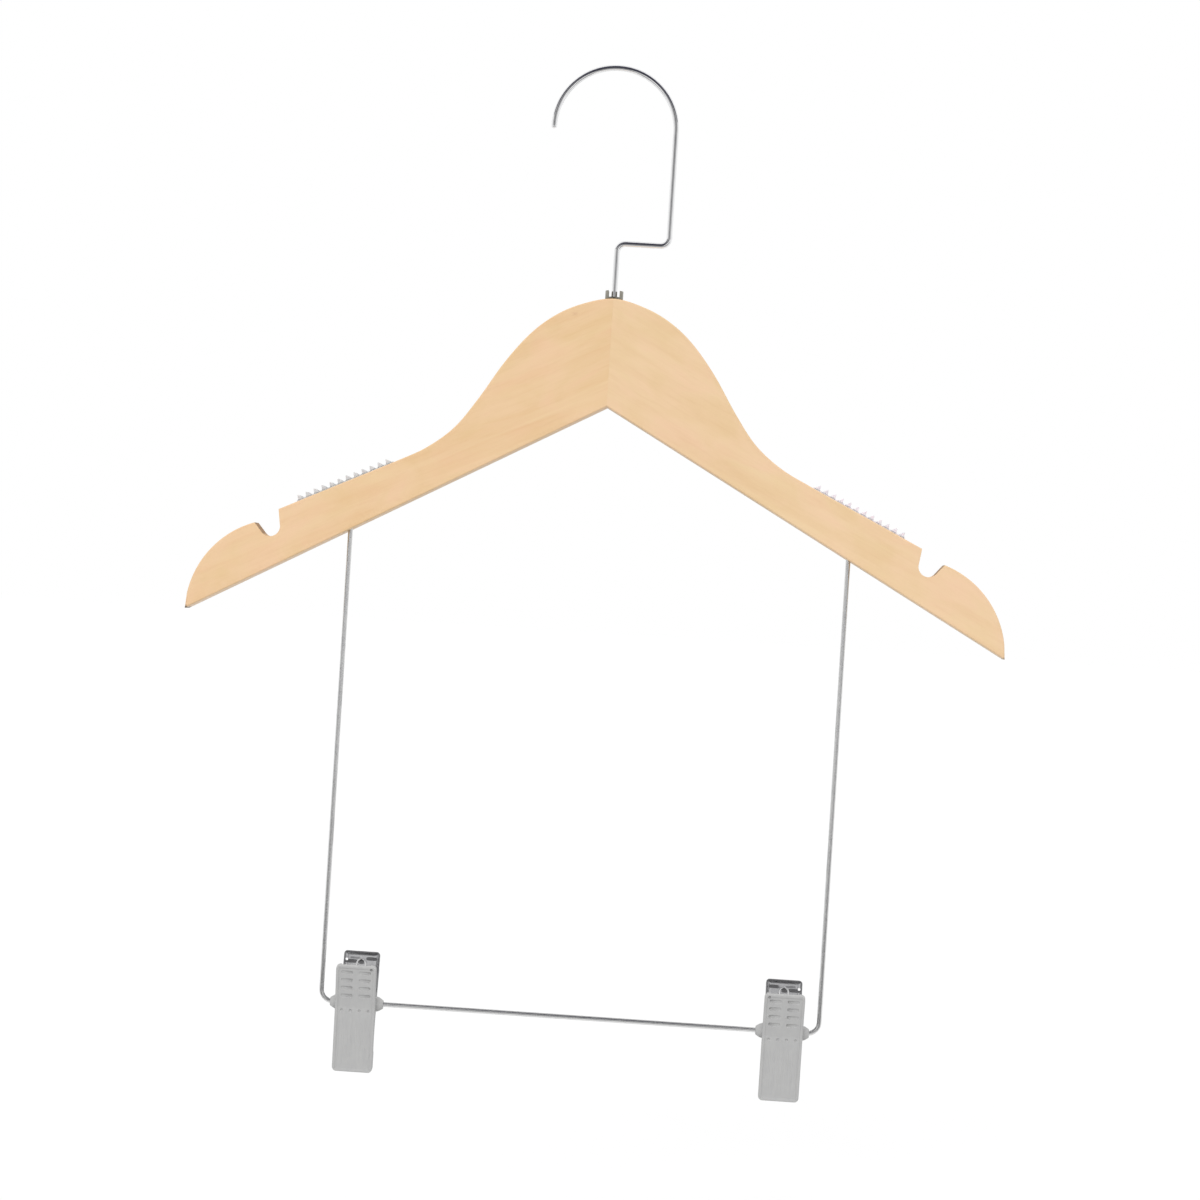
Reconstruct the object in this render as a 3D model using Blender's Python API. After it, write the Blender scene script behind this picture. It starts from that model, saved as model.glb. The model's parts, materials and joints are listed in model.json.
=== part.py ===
# Child's wooden clothes hanger with a swivel hook, a wire drop bar and two spring clips.
# Metres, +Z up, +X to the viewer's right, +Y away from the viewer. The origin is the
# inside of the hook's crown, where the hanger sits on a rail.

import math

import bmesh
import bpy
from mathutils import Matrix, Vector

# Clearance between touching pieces, and how far a cutter runs past what it cuts
fit_gap = 0.0003
overrun = 0.002

# Hook wire
hook_wire = 0.0024
crook_radius = 0.0261
crook_lead = 0.0041
hook_height = 0.098
step_height = 0.0242
hook_bend = 0.0036
hook_sides = 3
tip_round_shares = ((0.35, 0.42), (0.15, 0.8), (0.0, 1.0))
wire_head_width = 0.004
wire_head_height = 0.0012

# Threaded insert that holds the hook in the neck, and its thrust washer
insert_head_width = 0.0077
insert_head_height = 0.0038
insert_floor = 0.0009
insert_wall = 0.0011
insert_slot = 0.0047
insert_shank = 0.006
insert_length = 0.014
insert_barb = 0.0004
insert_barbs = 4
washer_width = 0.0058
washer_thickness = 0.0008
insert_sides = 24

# Wooden body
half_span = 0.175
board_thickness = 0.012
edge_round = 0.001
edge_steps = 3
neck_depth = 0.0461
neck_reach = 0.089
neck_drop = 0.075
neck_curve_shares = (
    (0.0, 0.0),
    (0.135, 0.034),
    (0.263, 0.105),
    (0.382, 0.219),
    (0.5, 0.392),
    (0.62, 0.617),
    (0.725, 0.785),
    (0.854, 0.909),
    (1.0, 1.0),
)
neck_steps = 4
shoulder_angle = 25.6
underside_angle = 28.95
tip_radius = 0.0405
tip_steps = 8

# Strap notches
notch_radius = 0.0044
notch_from_tip = 0.0344
notch_sink = 0.0059
notch_undercut = 0.0011
notch_wall_angle = 50.0
notch_steps = 8

# Dowels across the glued neck joint
dowel_diameter = 0.005
dowel_length = 0.028
dowel_height_shares = (0.53, 0.79)
dowel_sides = 16

# Ribbed shoulder grips
grip_teeth = 12
grip_pitch = 0.0037
grip_rise = 0.0006
grip_tooth_height = 0.0019
grip_tooth_base = 0.003
grip_lean_share = 0.7
grip_base = 0.0012
grip_width = 0.0096
grip_from_notch = 0.0076

# Drop frame
frame_wire = 0.002
frame_half_width = 0.1067
frame_drop = 0.3073
frame_corner = 0.005
frame_leg_depth = 0.012
frame_sides = 3
bend_steps = 5

# Clip plates: pressed steel trays, the front one nesting inside the rear one
clip_width = 0.0172
plate_steel = 0.0007
plate_flange = 0.0008
plate_tip_drop = 0.0275
plate_bend_drop = 0.001
plate_standoff = 0.004
plate_bend_radius = 0.006
plate_bend_steps = 3
grip_angle = 14.0
front_plate_reach = 0.0164
rear_plate_reach = 0.021
plate_corner = 0.0015
flange_foot_drop = 0.012
flange_end_drop = 0.018
flange_run_out = 0.0004
ear_radius = 0.0037
ear_neck_up = 0.005
ear_neck_down = 0.0052
ear_start_angle = 62.0
ear_steps = 10

# Clip covers: soft plastic shells whose lower end folds round the jaw tip as its pad
cover_wall = 0.0012
cover_side = 0.0005
front_cover_reach = 0.0176
rear_cover_reach = 0.0156
cover_drop = 0.029
cover_top_corner = 0.0017
cover_foot_corner = 0.0012
pad_thickness = 0.0012
pad_height = 0.0083
pad_slope = 0.0012
slot_rows = 4
slot_from_top = 0.0031
slot_pitch = 0.0034
slot_spacing = 0.0077
slot_length = 0.0049
slot_height = 0.0013
slot_depth = 0.0006
tray_slot_depth = 0.0003
dimple_count = 4
dimple_drop = 0.0025
dimple_spacing = 0.0038
dimple_width = 0.0011
dimple_depth = 0.0004
eyelet_across = 0.0065
front_eyelet_height = 0.016
rear_eyelet_height = 0.0173
eyelet_width = 0.0012
small_hole_sides = 10

# Clip pivot: a plastic tube that slides on the bar, coned at one end and capped at the other
pivot_barrel = 0.0044
cone_width = 0.0066
cone_tip_width = 0.0036
cone_length = 0.0033
cone_over_bend = 0.0009
cap_spigot = 0.0037
cap_spigot_length = 0.0013
pivot_sides = 20

# Clip spring: two coils joined by a loop on the rear plate, its legs on the front plate
spring_wire = 0.0008
spring_coil = 0.0058
spring_pitch = 0.00135
spring_whole_turns = 2
spring_loop_width = 0.0038
spring_loop_reach = 0.0178
spring_leg_reach = 0.011
spring_points_per_turn = 10
spring_loop_steps = 8

# Places worked out from the sizes above
stem_x = crook_lead
board_top = -hook_height
clip_half = clip_width / 2
rear_plate_half = clip_half - cover_side - fit_gap
front_plate_half = rear_plate_half - plate_steel - fit_gap
cone_base = rear_plate_half + fit_gap
pivot_half = cone_base + cone_length
clip_place = frame_half_width - frame_corner + cone_over_bend - pivot_half
insert_bore = hook_wire / 2 + fit_gap
socket_radius = insert_shank / 2 + fit_gap
washer_top = -insert_length - fit_gap
wire_head_top = washer_top - washer_thickness - fit_gap
wire_end = wire_head_top - wire_head_height
socket_floor = wire_end - 3 * fit_gap


# Scene and materials
for old in list(bpy.data.objects):
    bpy.data.objects.remove(old, do_unlink=True)


def make_material(name, color, roughness, metallic):
    material = bpy.data.materials.new(name)
    material.use_nodes = True
    shader = material.node_tree.nodes["Principled BSDF"]
    shader.inputs["Base Color"].default_value = (*color, 1.0)
    shader.inputs["Roughness"].default_value = roughness
    shader.inputs["Metallic"].default_value = metallic
    material.diffuse_color = (*color, 1.0)
    return material


pale_wood = make_material("pale_wood", (0.84, 0.6, 0.35), 0.5, 0.0)
dowel_wood = make_material("dowel_wood", (0.7, 0.48, 0.27), 0.6, 0.0)
silicone = make_material("silicone", (0.85, 0.85, 0.88), 0.35, 0.0)
chrome_wire = make_material("chrome_wire", (0.72, 0.72, 0.73), 0.12, 1.0)
nickel = make_material("nickel", (0.5, 0.47, 0.4), 0.3, 1.0)
zinc_wire = make_material("zinc_wire", (0.66, 0.66, 0.66), 0.25, 1.0)
tray_steel = make_material("tray_steel", (0.62, 0.62, 0.63), 0.18, 1.0)
spring_steel = make_material("spring_steel", (0.7, 0.7, 0.7), 0.2, 1.0)
grey_plastic = make_material("grey_plastic", (0.48, 0.49, 0.5), 0.6, 0.0)
pivot_plastic = make_material("pivot_plastic", (0.5, 0.51, 0.52), 0.5, 0.0)


# Objects
def make_empty(name, place):
    empty = bpy.data.objects.new(name, None)
    empty.location = place
    bpy.context.collection.objects.link(empty)
    return empty


def make_object(name, data, material, parent):
    part = bpy.data.objects.new(name, data)
    part.data.materials.append(material)
    part.parent = parent
    bpy.context.collection.objects.link(part)
    return part


def finish_mesh(name, work, smooth=True):
    bmesh.ops.recalc_face_normals(work, faces=work.faces[:])
    mesh = bpy.data.meshes.new(name)
    work.to_mesh(mesh)
    work.free()
    if smooth:
        mesh.shade_smooth()
        mesh.set_sharp_from_angle(angle=math.radians(35))
    return mesh


def cut(target, cutter_mesh, parent):
    """Takes a hidden cutter, placed in the parent's frame, away from the target."""
    cutter = bpy.data.objects.new(cutter_mesh.name, cutter_mesh)
    cutter.parent = parent
    cutter.hide_render = True
    cutter.display_type = "WIRE"
    bpy.context.collection.objects.link(cutter)
    boolean = target.modifiers.new(cutter_mesh.name, "BOOLEAN")
    boolean.operation = "DIFFERENCE"
    boolean.solver = "EXACT"
    boolean.object = cutter
    return cutter


# Solids
def join_rings(work, rings):
    """Walls between rings of matching points, with a face over the first and the last."""
    count = len(rings[0])
    work.faces.new(rings[0])
    work.faces.new(reversed(rings[-1]))
    for ring, after in zip(rings, rings[1:]):
        for i in range(count):
            j = (i + 1) % count
            work.faces.new((ring[i], after[i], after[j], ring[j]))


def add_prism(work, outline, low, high, place, corners=()):
    """Adds an outline swept from low to high; place(u, v, w) puts a point into the frame.

    corners holds (index, size): the edge from that outline point to the next one is
    bevelled at both ends of the sweep.
    """
    rings = [[work.verts.new(place(u, v, w)) for u, v in outline] for w in (low, high)]
    join_rings(work, rings)
    count = len(outline)
    for index, size in corners:
        edges = [
            work.edges.get((ring[index], ring[(index + 1) % count])) for ring in rings
        ]
        bmesh.ops.bevel(
            work, geom=edges, offset=size, segments=1, affect="EDGES", profile=0.5
        )


def add_box(work, size, matrix):
    bmesh.ops.create_cube(work, size=1, matrix=matrix @ Matrix.Diagonal((*size, 1)))


def add_cylinder(work, radius, length, sides, matrix):
    bmesh.ops.create_cone(
        work,
        cap_ends=True,
        segments=sides,
        radius1=radius,
        radius2=radius,
        depth=length,
        matrix=matrix,
    )


def lathe(name, profile, sides, matrix):
    """Turns a closed (radius, height) outline about Z, then places it by the matrix."""
    work = bmesh.new()
    rings = []
    for step in range(sides):
        angle = 2 * math.pi * step / sides
        rings.append(
            [
                work.verts.new(
                    matrix @ Vector((r * math.cos(angle), r * math.sin(angle), h))
                )
                for r, h in profile
            ]
        )
    count = len(profile)
    for step in range(sides):
        ring, after = rings[step], rings[(step + 1) % sides]
        for i in range(count):
            j = (i + 1) % count
            work.faces.new((ring[i], ring[j], after[j], after[i]))
    return finish_mesh(name, work)


def wire(name, points, diameter, resolution, material, parent, radii=None):
    """A round wire along the points, with closed ends."""
    curve = bpy.data.curves.new(name, "CURVE")
    curve.dimensions = "3D"
    curve.bevel_depth = diameter / 2
    curve.bevel_resolution = resolution
    curve.use_fill_caps = True
    spline = curve.splines.new("POLY")
    spline.points.add(len(points) - 1)
    for i, point in enumerate(points):
        spline.points[i].co = (*point, 1)
        spline.points[i].radius = radii[i] if radii else 1
    return make_object(name, curve, material, parent)


# Lines
def arc(center, radius, start, end, steps):
    """Points on an arc in a plane, angles in degrees, both ends included."""
    angles = [math.radians(start + (end - start) * i / steps) for i in range(steps + 1)]
    return [
        (center[0] + radius * math.cos(a), center[1] + radius * math.sin(a))
        for a in angles
    ]


def round_corner(before, corner, after, radius, steps):
    """The arc that replaces a corner between two straight runs."""
    here = Vector(corner)
    back = (Vector(before) - here).normalized()
    ahead = (Vector(after) - here).normalized()
    half = back.angle(ahead) / 2
    reach = radius / math.tan(half)
    center = here + (back + ahead).normalized() * radius / math.sin(half)
    start = here + back * reach - center
    turn = (here + ahead * reach - center).angle_signed(start)
    return [
        tuple(center + Matrix.Rotation(turn * i / steps, 2) @ start)
        for i in range(steps + 1)
    ]


def offset_line(points, distance):
    """The line moved sideways, to the right of its direction of travel."""
    moved = []
    for i, point in enumerate(points):
        here = Vector(point)
        runs = []
        if i > 0:
            runs.append((here - Vector(points[i - 1])).normalized())
        if i < len(points) - 1:
            runs.append((Vector(points[i + 1]) - here).normalized())
        normals = [Vector((run.y, -run.x)) for run in runs]
        middle = sum(normals, Vector((0, 0))).normalized()
        moved.append(tuple(here + middle * distance / middle.dot(normals[0])))
    return moved


def smooth_curve(knots, steps):
    """A curve through the knots, level at its start, with the last run kept straight."""
    first = (-knots[1][0], knots[1][1])
    last = tuple(2 * Vector(knots[-1]) - Vector(knots[-2]))
    knots = [first, *knots, last]
    points = []
    for i in range(1, len(knots) - 2):
        a, b, c, d = (Vector(k) for k in knots[i - 1 : i + 3])
        for step in range(steps):
            t = step / steps
            point = (
                2 * b
                + (c - a) * t
                + (2 * a - 5 * b + 4 * c - d) * t**2
                + (3 * b - a - 3 * c + d) * t**3
            )
            points.append(tuple(point / 2))
    return [*points, knots[-2]]


# Frames that the moving groups hang from
swivel_axis = make_empty("swivel_axis", (stem_x, 0, board_top))


def upright(u, v, w):
    """An outline in X and Z, swept along Y."""
    return (u, w, v)


# Hook
def make_hook():
    """From the crook's tip over the crown, down the run, across the step and down the stem."""
    center_z = hook_wire / 2 - crook_radius
    step_z = board_top + step_height
    end_z = board_top + wire_end
    head_z = board_top + wire_head_top
    low = (stem_x, end_z)
    path = arc((0, center_z), crook_radius, 180, 0, 24)
    path += round_corner(
        path[-1], (crook_radius, step_z), (stem_x, step_z), hook_bend, bend_steps
    )
    path += round_corner(
        (crook_radius, step_z), (stem_x, step_z), low, hook_bend, bend_steps
    )
    radii = [1.0] * len(path)
    tip = path[0]
    for along, thinner in tip_round_shares:
        path.insert(0, (tip[0], tip[1] - (1 - along) * hook_wire / 2))
        radii.insert(0, math.sqrt(max(1 - thinner**2, 0.02)))
    swell = wire_head_width / hook_wire
    path += [(stem_x, head_z), (stem_x, head_z - (swell - 1) * hook_wire / 8), low]
    radii += [1.0, swell, swell]
    points = [(x, 0, z) for x, z in path]
    wire("hook_wire", points, hook_wire, hook_sides, chrome_wire, None, radii)


def make_washer():
    profile = [
        (insert_bore, washer_top - washer_thickness),
        (washer_width / 2, washer_top - washer_thickness),
        (washer_width / 2, washer_top),
        (insert_bore, washer_top),
    ]
    mesh = lathe("swivel_washer", profile, insert_sides, Matrix.Identity(4))
    washer = make_object("swivel_washer", mesh, nickel, None)
    washer.location = swivel_axis.location


def make_insert():
    """A slotted cup on a barbed sleeve; the slot takes the driver."""
    shank, head = insert_shank / 2, insert_head_width / 2
    barb_run = insert_length / (insert_barbs + 1)
    profile = [
        (insert_bore, -insert_length),
        (shank - insert_barb, -insert_length),
    ]
    for i in range(insert_barbs):
        height = -insert_length + (i + 1) * barb_run
        profile += [(shank, height), (shank - insert_barb, height)]
    profile += [
        (shank - insert_barb, fit_gap),
        (head, fit_gap),
        (head, insert_head_height),
        (head - insert_wall, insert_head_height),
        (head - insert_wall, insert_floor),
        (insert_bore, insert_floor),
    ]
    mesh = lathe("hook_insert", profile, insert_sides, Matrix.Identity(4))
    insert = make_object("hook_insert", mesh, nickel, swivel_axis)
    work = bmesh.new()
    height = insert_head_height - insert_floor + overrun
    size = (insert_slot, insert_head_width + overrun, height)
    add_box(work, size, Matrix.Translation((0, 0, insert_floor + height / 2)))
    cut(insert, finish_mesh("insert_slot_cutter", work, False), swivel_axis)


# Wooden body
def shoulder_z(x):
    return -neck_drop - (x - neck_reach) * math.tan(math.radians(shoulder_angle))


def underside_z(x):
    return -neck_depth - x * math.tan(math.radians(underside_angle))


def notch_corner_x():
    return half_span - notch_from_tip - notch_radius + notch_undercut


def arm_outline():
    """The right arm's front outline, clockwise from the neck's top to the underside's peak.

    It runs straight over the notch, which is cut later with square edges.
    """
    knots = [(u * neck_reach, -v * neck_drop) for u, v in neck_curve_shares]
    line = smooth_curve(knots, neck_steps)
    notch_x = half_span - notch_from_tip
    line.append((notch_x, shoulder_z(notch_x)))
    center = (half_span - tip_radius, underside_z(half_span))
    tip_start = notch_x + notch_radius / 2
    start_angle = math.degrees(math.acos((tip_start - center[0]) / tip_radius))
    line += arc(center, tip_radius, start_angle, 0, tip_steps)
    return [*line, (0, underside_z(0))]


def notch_outline():
    """The right arm's notch: an undercut wall, a round floor and a leaning outer wall."""
    notch_x = half_span - notch_from_tip
    center = (notch_x, shoulder_z(notch_x) - notch_sink)
    line = arc(center, notch_radius, 180, 270 + notch_wall_angle, notch_steps)
    corner = Vector((notch_corner_x(), shoulder_z(notch_corner_x())))
    undercut = (corner - Vector(line[0])).normalized()
    wall = math.radians(notch_wall_angle)
    along = Vector((math.cos(wall), math.sin(wall)))
    outer_wall = along * (notch_sink + overrun)
    return [corner + undercut * overrun, *line, Vector(line[-1]) + outer_wall]


def arm_ring(side, inset):
    """The arm's outline drawn in by the inset, except along the neck joint."""
    line = arm_outline()
    before, after = line[1], line[-2]
    line = [(-before[0], before[1]), *line, (-after[0], after[1])]
    line = offset_line(line, inset)[1:-1]
    seam = fit_gap / 2
    line[0] = (seam, line[0][1])
    line[-1] = (seam, line[-1][1] + underside_z(seam) - underside_z(0))
    return [(side * x, z) for x, z in line]


def make_arm_mesh(name, side):
    """The arm with its front and back edges rounded over."""
    flat = board_thickness / 2 - edge_round
    levels = []
    for i in range(edge_steps + 1):
        angle = math.pi / 2 * i / edge_steps
        inset = edge_round * (1 - math.cos(angle))
        levels.append((flat + edge_round * math.sin(angle), inset))
    levels = [(-y, inset) for y, inset in reversed(levels)] + levels
    work = bmesh.new()
    rings = [
        [work.verts.new((x, y, z)) for x, z in arm_ring(side, inset)]
        for y, inset in levels
    ]
    join_rings(work, rings)
    return finish_mesh(name, work)


def shoulder_frame(side, x):
    """On the shoulder line at x: local X along the slope outwards, local Z square to it."""
    slope = math.radians(shoulder_angle)
    place = Matrix.Translation((side * x, 0, shoulder_z(x)))
    return place @ Matrix.Rotation(side * slope, 4, "Y")


def make_arms():
    work = bmesh.new()
    lean = Matrix.Rotation(math.pi / 2, 4, "Y")
    for share in dowel_height_shares:
        add_cylinder(
            work,
            dowel_diameter / 2 + fit_gap,
            dowel_length + 2 * fit_gap,
            dowel_sides,
            Matrix.Translation((0, 0, -share * neck_depth)) @ lean,
        )
    dowel_cutter = finish_mesh("dowel_cutter", work)
    work = bmesh.new()
    height = overrun - socket_floor
    middle = Matrix.Translation((0, 0, overrun - height / 2))
    add_cylinder(work, socket_radius, height, insert_sides, middle)
    socket_cutter = finish_mesh("socket_cutter", work)
    for name, side in (("left_arm", -1), ("right_arm", 1)):
        arm = make_object(name, make_arm_mesh(name, side), pale_wood, swivel_axis)
        cut(arm, socket_cutter, swivel_axis)
        cut(arm, dowel_cutter, swivel_axis)
        work = bmesh.new()
        leg_low = underside_z(frame_half_width)
        height = frame_leg_depth + fit_gap + overrun
        add_cylinder(
            work,
            frame_wire / 2 + fit_gap,
            height,
            dowel_sides,
            Matrix.Translation(
                (side * frame_half_width, 0, leg_low - overrun + height / 2)
            ),
        )
        cut(arm, finish_mesh(name + "_leg_cutter", work), swivel_axis)
        work = bmesh.new()
        length = grip_teeth * grip_pitch
        depth = grip_base + fit_gap + overrun
        size = (length + 2 * fit_gap, grip_width + 2 * fit_gap, depth)
        middle = Matrix.Translation(
            (-side * length / 2, 0, overrun - depth / 2)
        )
        add_box(work, size, shoulder_frame(side, grip_end_x()) @ middle)
        cut(arm, finish_mesh(name + "_grip_cutter", work, False), swivel_axis)
        work = bmesh.new()
        outline = [(side * x, z) for x, z in notch_outline()]
        reach = board_thickness / 2 + overrun
        add_prism(work, outline, -reach, reach, upright)
        cut(arm, finish_mesh(name + "_notch_cutter", work, False), swivel_axis)


def make_dowels():
    lean = Matrix.Rotation(math.pi / 2, 4, "Y")
    names = ("neck_dowel_upper", "neck_dowel_lower")
    for name, share in zip(names, dowel_height_shares):
        work = bmesh.new()
        add_cylinder(work, dowel_diameter / 2, dowel_length, dowel_sides, lean)
        mesh = finish_mesh(name, work)
        dowel = make_object(name, mesh, dowel_wood, swivel_axis)
        dowel.location = (0, 0, -share * neck_depth)


def grip_end_x():
    return notch_corner_x() - grip_from_notch


def make_shoulder_grips():
    """A strip just proud of the shoulder, with a row of teeth that lean outwards."""
    length = grip_teeth * grip_pitch
    for name, side in (("left_shoulder_grip", -1), ("right_shoulder_grip", 1)):
        outline = [(0, grip_rise), (0, -grip_base), (-length, -grip_base), (-length, grip_rise)]
        for i in range(grip_teeth):
            start = -length + i * grip_pitch + (grip_pitch - grip_tooth_base) / 2
            peak = start + grip_lean_share * grip_tooth_base
            outline += [
                (start, grip_rise),
                (peak, grip_rise + grip_tooth_height),
                (start + grip_tooth_base, grip_rise),
            ]
        outline = [(side * u, v) for u, v in outline]
        work = bmesh.new()
        add_prism(work, outline, -grip_width / 2, grip_width / 2, upright)
        mesh = finish_mesh(name, work, False)
        grip = make_object(name, mesh, silicone, swivel_axis)
        grip.matrix_local = shoulder_frame(side, grip_end_x())


# Drop frame
def make_drop_frame():
    """One wire: up inside the left arm, down, along the bar and up into the right arm."""
    top = underside_z(frame_half_width) + frame_leg_depth
    corners = [
        (-frame_half_width, top),
        (-frame_half_width, -frame_drop),
        (frame_half_width, -frame_drop),
        (frame_half_width, top),
    ]
    path = [corners[0]]
    for i in (1, 2):
        path += round_corner(*corners[i - 1 : i + 2], frame_corner, bend_steps)
    path.append(corners[3])
    points = [(x, 0, z) for x, z in path]
    wire("drop_frame", points, frame_wire, frame_sides, zinc_wire, swivel_axis)


# Clips. A clip's outlines give (distance out from its middle plane, height), and are
# drawn for the front half; the rear half is turned half round about Z.
def clip_frame(u, v, w):
    return (w, -u, v)


def plate_tip():
    return (fit_gap / 2 + pad_thickness + fit_gap, -plate_tip_drop)


def plate_line(low, high):
    """The inside face of a plate between two heights, from the jaw up to the grip."""
    tip, bend = Vector(plate_tip()), Vector((plate_standoff, -plate_bend_drop))
    slope = math.tan(math.radians(grip_angle))
    top = bend + Vector((slope, 1)) * (high + plate_bend_drop)
    foot = tip + (bend - tip) * (low + plate_tip_drop) / (bend.y - tip.y)
    if low > bend.y:
        return [tuple(bend + Vector((slope, 1)) * (low - bend.y)), tuple(top)]
    if high <= bend.y:
        high_point = tip + (bend - tip) * (high + plate_tip_drop) / (bend.y - tip.y)
        return [tuple(foot), tuple(high_point)]
    rounded = round_corner(foot, bend, top, plate_bend_radius, plate_bend_steps)
    return [tuple(foot), *rounded, tuple(top)]


def make_plate(name, half, reach, turn, axis, eyelet_side):
    """A tray: its face, a shallow flange all round the grip, and two pivot ears.

    The rear one stands above its cover, and has an eyelet there and a pressed slot.
    """
    outline = offset_line(plate_line(-plate_tip_drop, reach), plate_steel)
    top_edge = len(outline) - 1
    outline += offset_line(plate_line(ear_neck_up, reach), -plate_flange)[::-1]
    outline += arc((0, 0), ear_radius, ear_start_angle, 360 - ear_start_angle, ear_steps)
    lower = plate_line(-flange_foot_drop, -ear_neck_down)
    outline += offset_line(lower, -plate_flange)[::-1]
    outline += plate_line(-plate_tip_drop, -flange_end_drop)[::-1]
    work = bmesh.new()
    add_prism(
        work, outline, -half, half, clip_frame, [(top_edge, plate_corner)]
    )
    plate = make_object(name, finish_mesh(name, work, False), tray_steel, axis)
    plate.rotation_euler.z = turn
    inside = plate_line(-flange_end_drop + flange_run_out, reach - plate_steel)
    depth = plate_standoff + ear_radius + overrun
    hollow = inside + offset_line(inside, -depth)[::-1]
    work = bmesh.new()
    inner = half - plate_steel
    add_prism(work, hollow, -inner, inner, clip_frame)
    cutter = cut(plate, finish_mesh(name + "_hollow_cutter", work, False), axis)
    cutter.rotation_euler.z = turn
    work = bmesh.new()
    lean = Matrix.Rotation(math.pi / 2, 4, "Y")
    hole = pivot_barrel / 2 + fit_gap
    add_cylinder(work, hole, 2 * half + overrun, pivot_sides, lean)
    cut(plate, finish_mesh(name + "_hole_cutter", work, False), axis)
    if eyelet_side:
        work = bmesh.new()
        add_eyelet(work, eyelet_side, rear_eyelet_height)
        height = reach - slot_from_top
        out = plate_line(height, reach)[0][0]
        add_slot(work, -eyelet_side, out, height, math.radians(grip_angle), tray_slot_depth)
        cutter = cut(plate, finish_mesh(name + "_eyelet_cutter", work, False), axis)
        cutter.rotation_euler.z = turn


def add_eyelet(work, side, height):
    turn = Matrix.Rotation(math.pi / 2, 4, "X")
    place = Matrix.Translation((side * eyelet_across, -clip_half, height))
    length = clip_width
    add_cylinder(work, eyelet_width / 2, length, small_hole_sides, place @ turn)


def add_slot(work, column, out, height, lean, depth):
    place = Matrix.Translation((column * slot_spacing / 2, -out, height))
    size = (slot_length, 2 * depth, slot_height)
    add_box(work, size, place @ Matrix.Rotation(lean, 4, "X"))


def cover_face_at(height, reach):
    """Distance out of the cover's outer face at a height, and its lean from upright."""
    line = offset_line(plate_line(-cover_drop, reach), cover_offset())
    for low, high in zip(line, line[1:]):
        if low[1] <= height <= high[1]:
            share = (height - low[1]) / (high[1] - low[1])
            lean = math.atan2(high[0] - low[0], high[1] - low[1])
            return low[0] + share * (high[0] - low[0]), lean
    return line[-1][0], 0


def cover_offset():
    return plate_steel + fit_gap + cover_wall


def make_cover(name, half, plate_half, reach, turn, axis, eyelet_side):
    """A shell over the plate, folded round the jaw tip, with finger slots in its grip.

    The front one has side walls, and the rear one is as wide as its tray.
    """
    outline = offset_line(plate_line(-cover_drop, reach), cover_offset())
    top_edge = len(outline) - 1
    pad_top = -cover_drop + pad_height
    outline += plate_line(pad_top + pad_slope, reach)[::-1]
    outline += [(fit_gap / 2, pad_top), (fit_gap / 2, -cover_drop)]
    foot_edge = len(outline) - 1
    corners = [(top_edge, cover_top_corner), (foot_edge, cover_foot_corner)]
    work = bmesh.new()
    add_prism(work, outline, -half, half, clip_frame, corners)
    cover = make_object(name, finish_mesh(name, work, False), grey_plastic, axis)
    cover.rotation_euler.z = turn
    pocket_top = pad_top + fit_gap
    pocket_low = -plate_tip_drop - fit_gap
    space = offset_line(
        plate_line(pocket_low, reach + overrun), plate_steel + fit_gap
    )
    back = -clip_half
    space += [(back, space[-1][1]), (back, pocket_top)]
    space += offset_line(plate_line(pocket_low, pocket_top), -fit_gap)[::-1]
    work = bmesh.new()
    inner = plate_half + fit_gap
    add_prism(work, space, -inner, inner, clip_frame)
    cutter = cut(cover, finish_mesh(name + "_hollow_cutter", work, False), axis)
    cutter.rotation_euler.z = turn
    work = bmesh.new()
    for row in range(slot_rows):
        height = reach - slot_from_top - row * slot_pitch
        out, lean = cover_face_at(height, reach)
        for column in (-1, 1):
            add_slot(work, column, out, height, lean, slot_depth)
    out, lean = cover_face_at(-dimple_drop, reach)
    for i in range(dimple_count):
        across = (i - (dimple_count - 1) / 2) * dimple_spacing
        place = Matrix.Translation((across, -out, -dimple_drop))
        add_cylinder(
            work,
            dimple_width / 2,
            2 * dimple_depth,
            small_hole_sides,
            place @ Matrix.Rotation(math.pi / 2 + lean, 4, "X"),
        )
    if eyelet_side:
        add_eyelet(work, eyelet_side, front_eyelet_height)
    cutter = cut(cover, finish_mesh(name + "_slots_cutter", work, False), axis)
    cutter.rotation_euler.z = turn


def make_pivot(name, side, axis):
    """The tube carries the outer cone; the inner cone is a cap on the tube's spigot."""
    bore = frame_wire / 2 + fit_gap
    cone, cone_tip = cone_width / 2, cone_tip_width / 2
    barrel, spigot = pivot_barrel / 2, cap_spigot / 2
    belly = (cone + cone_tip) / 2 + fit_gap
    middle = cone_base + cone_length / 2
    along = Matrix.Rotation(side * math.pi / 2, 4, "Y")
    spigot_end = rear_plate_half + cap_spigot_length
    profile = [
        (bore, pivot_half),
        (cone_tip, pivot_half),
        (belly, middle),
        (cone, cone_base),
        (barrel, cone_base),
        (barrel, -rear_plate_half),
        (spigot, -rear_plate_half),
        (spigot, -spigot_end),
        (bore, -spigot_end),
    ]
    mesh = lathe(name + "_tube", profile, pivot_sides, along)
    make_object(name + "_tube", mesh, pivot_plastic, axis)
    pocket = spigot + fit_gap
    profile = [
        (pocket, -cone_base),
        (cone, -cone_base),
        (belly, -middle),
        (cone_tip, -pivot_half),
        (bore, -pivot_half),
        (bore, -spigot_end - fit_gap),
        (pocket, -spigot_end - fit_gap),
    ]
    mesh = lathe(name + "_cap", profile, pivot_sides, along)
    make_object(name + "_cap", mesh, pivot_plastic, axis)


def seat_on_plate(height):
    """Where the spring's wire centre lies against a plate's inside face."""
    line = plate_line(-plate_tip_drop, height)
    return line[-1][0] - spring_wire / 2 - fit_gap / math.cos(math.radians(grip_angle))


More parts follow.
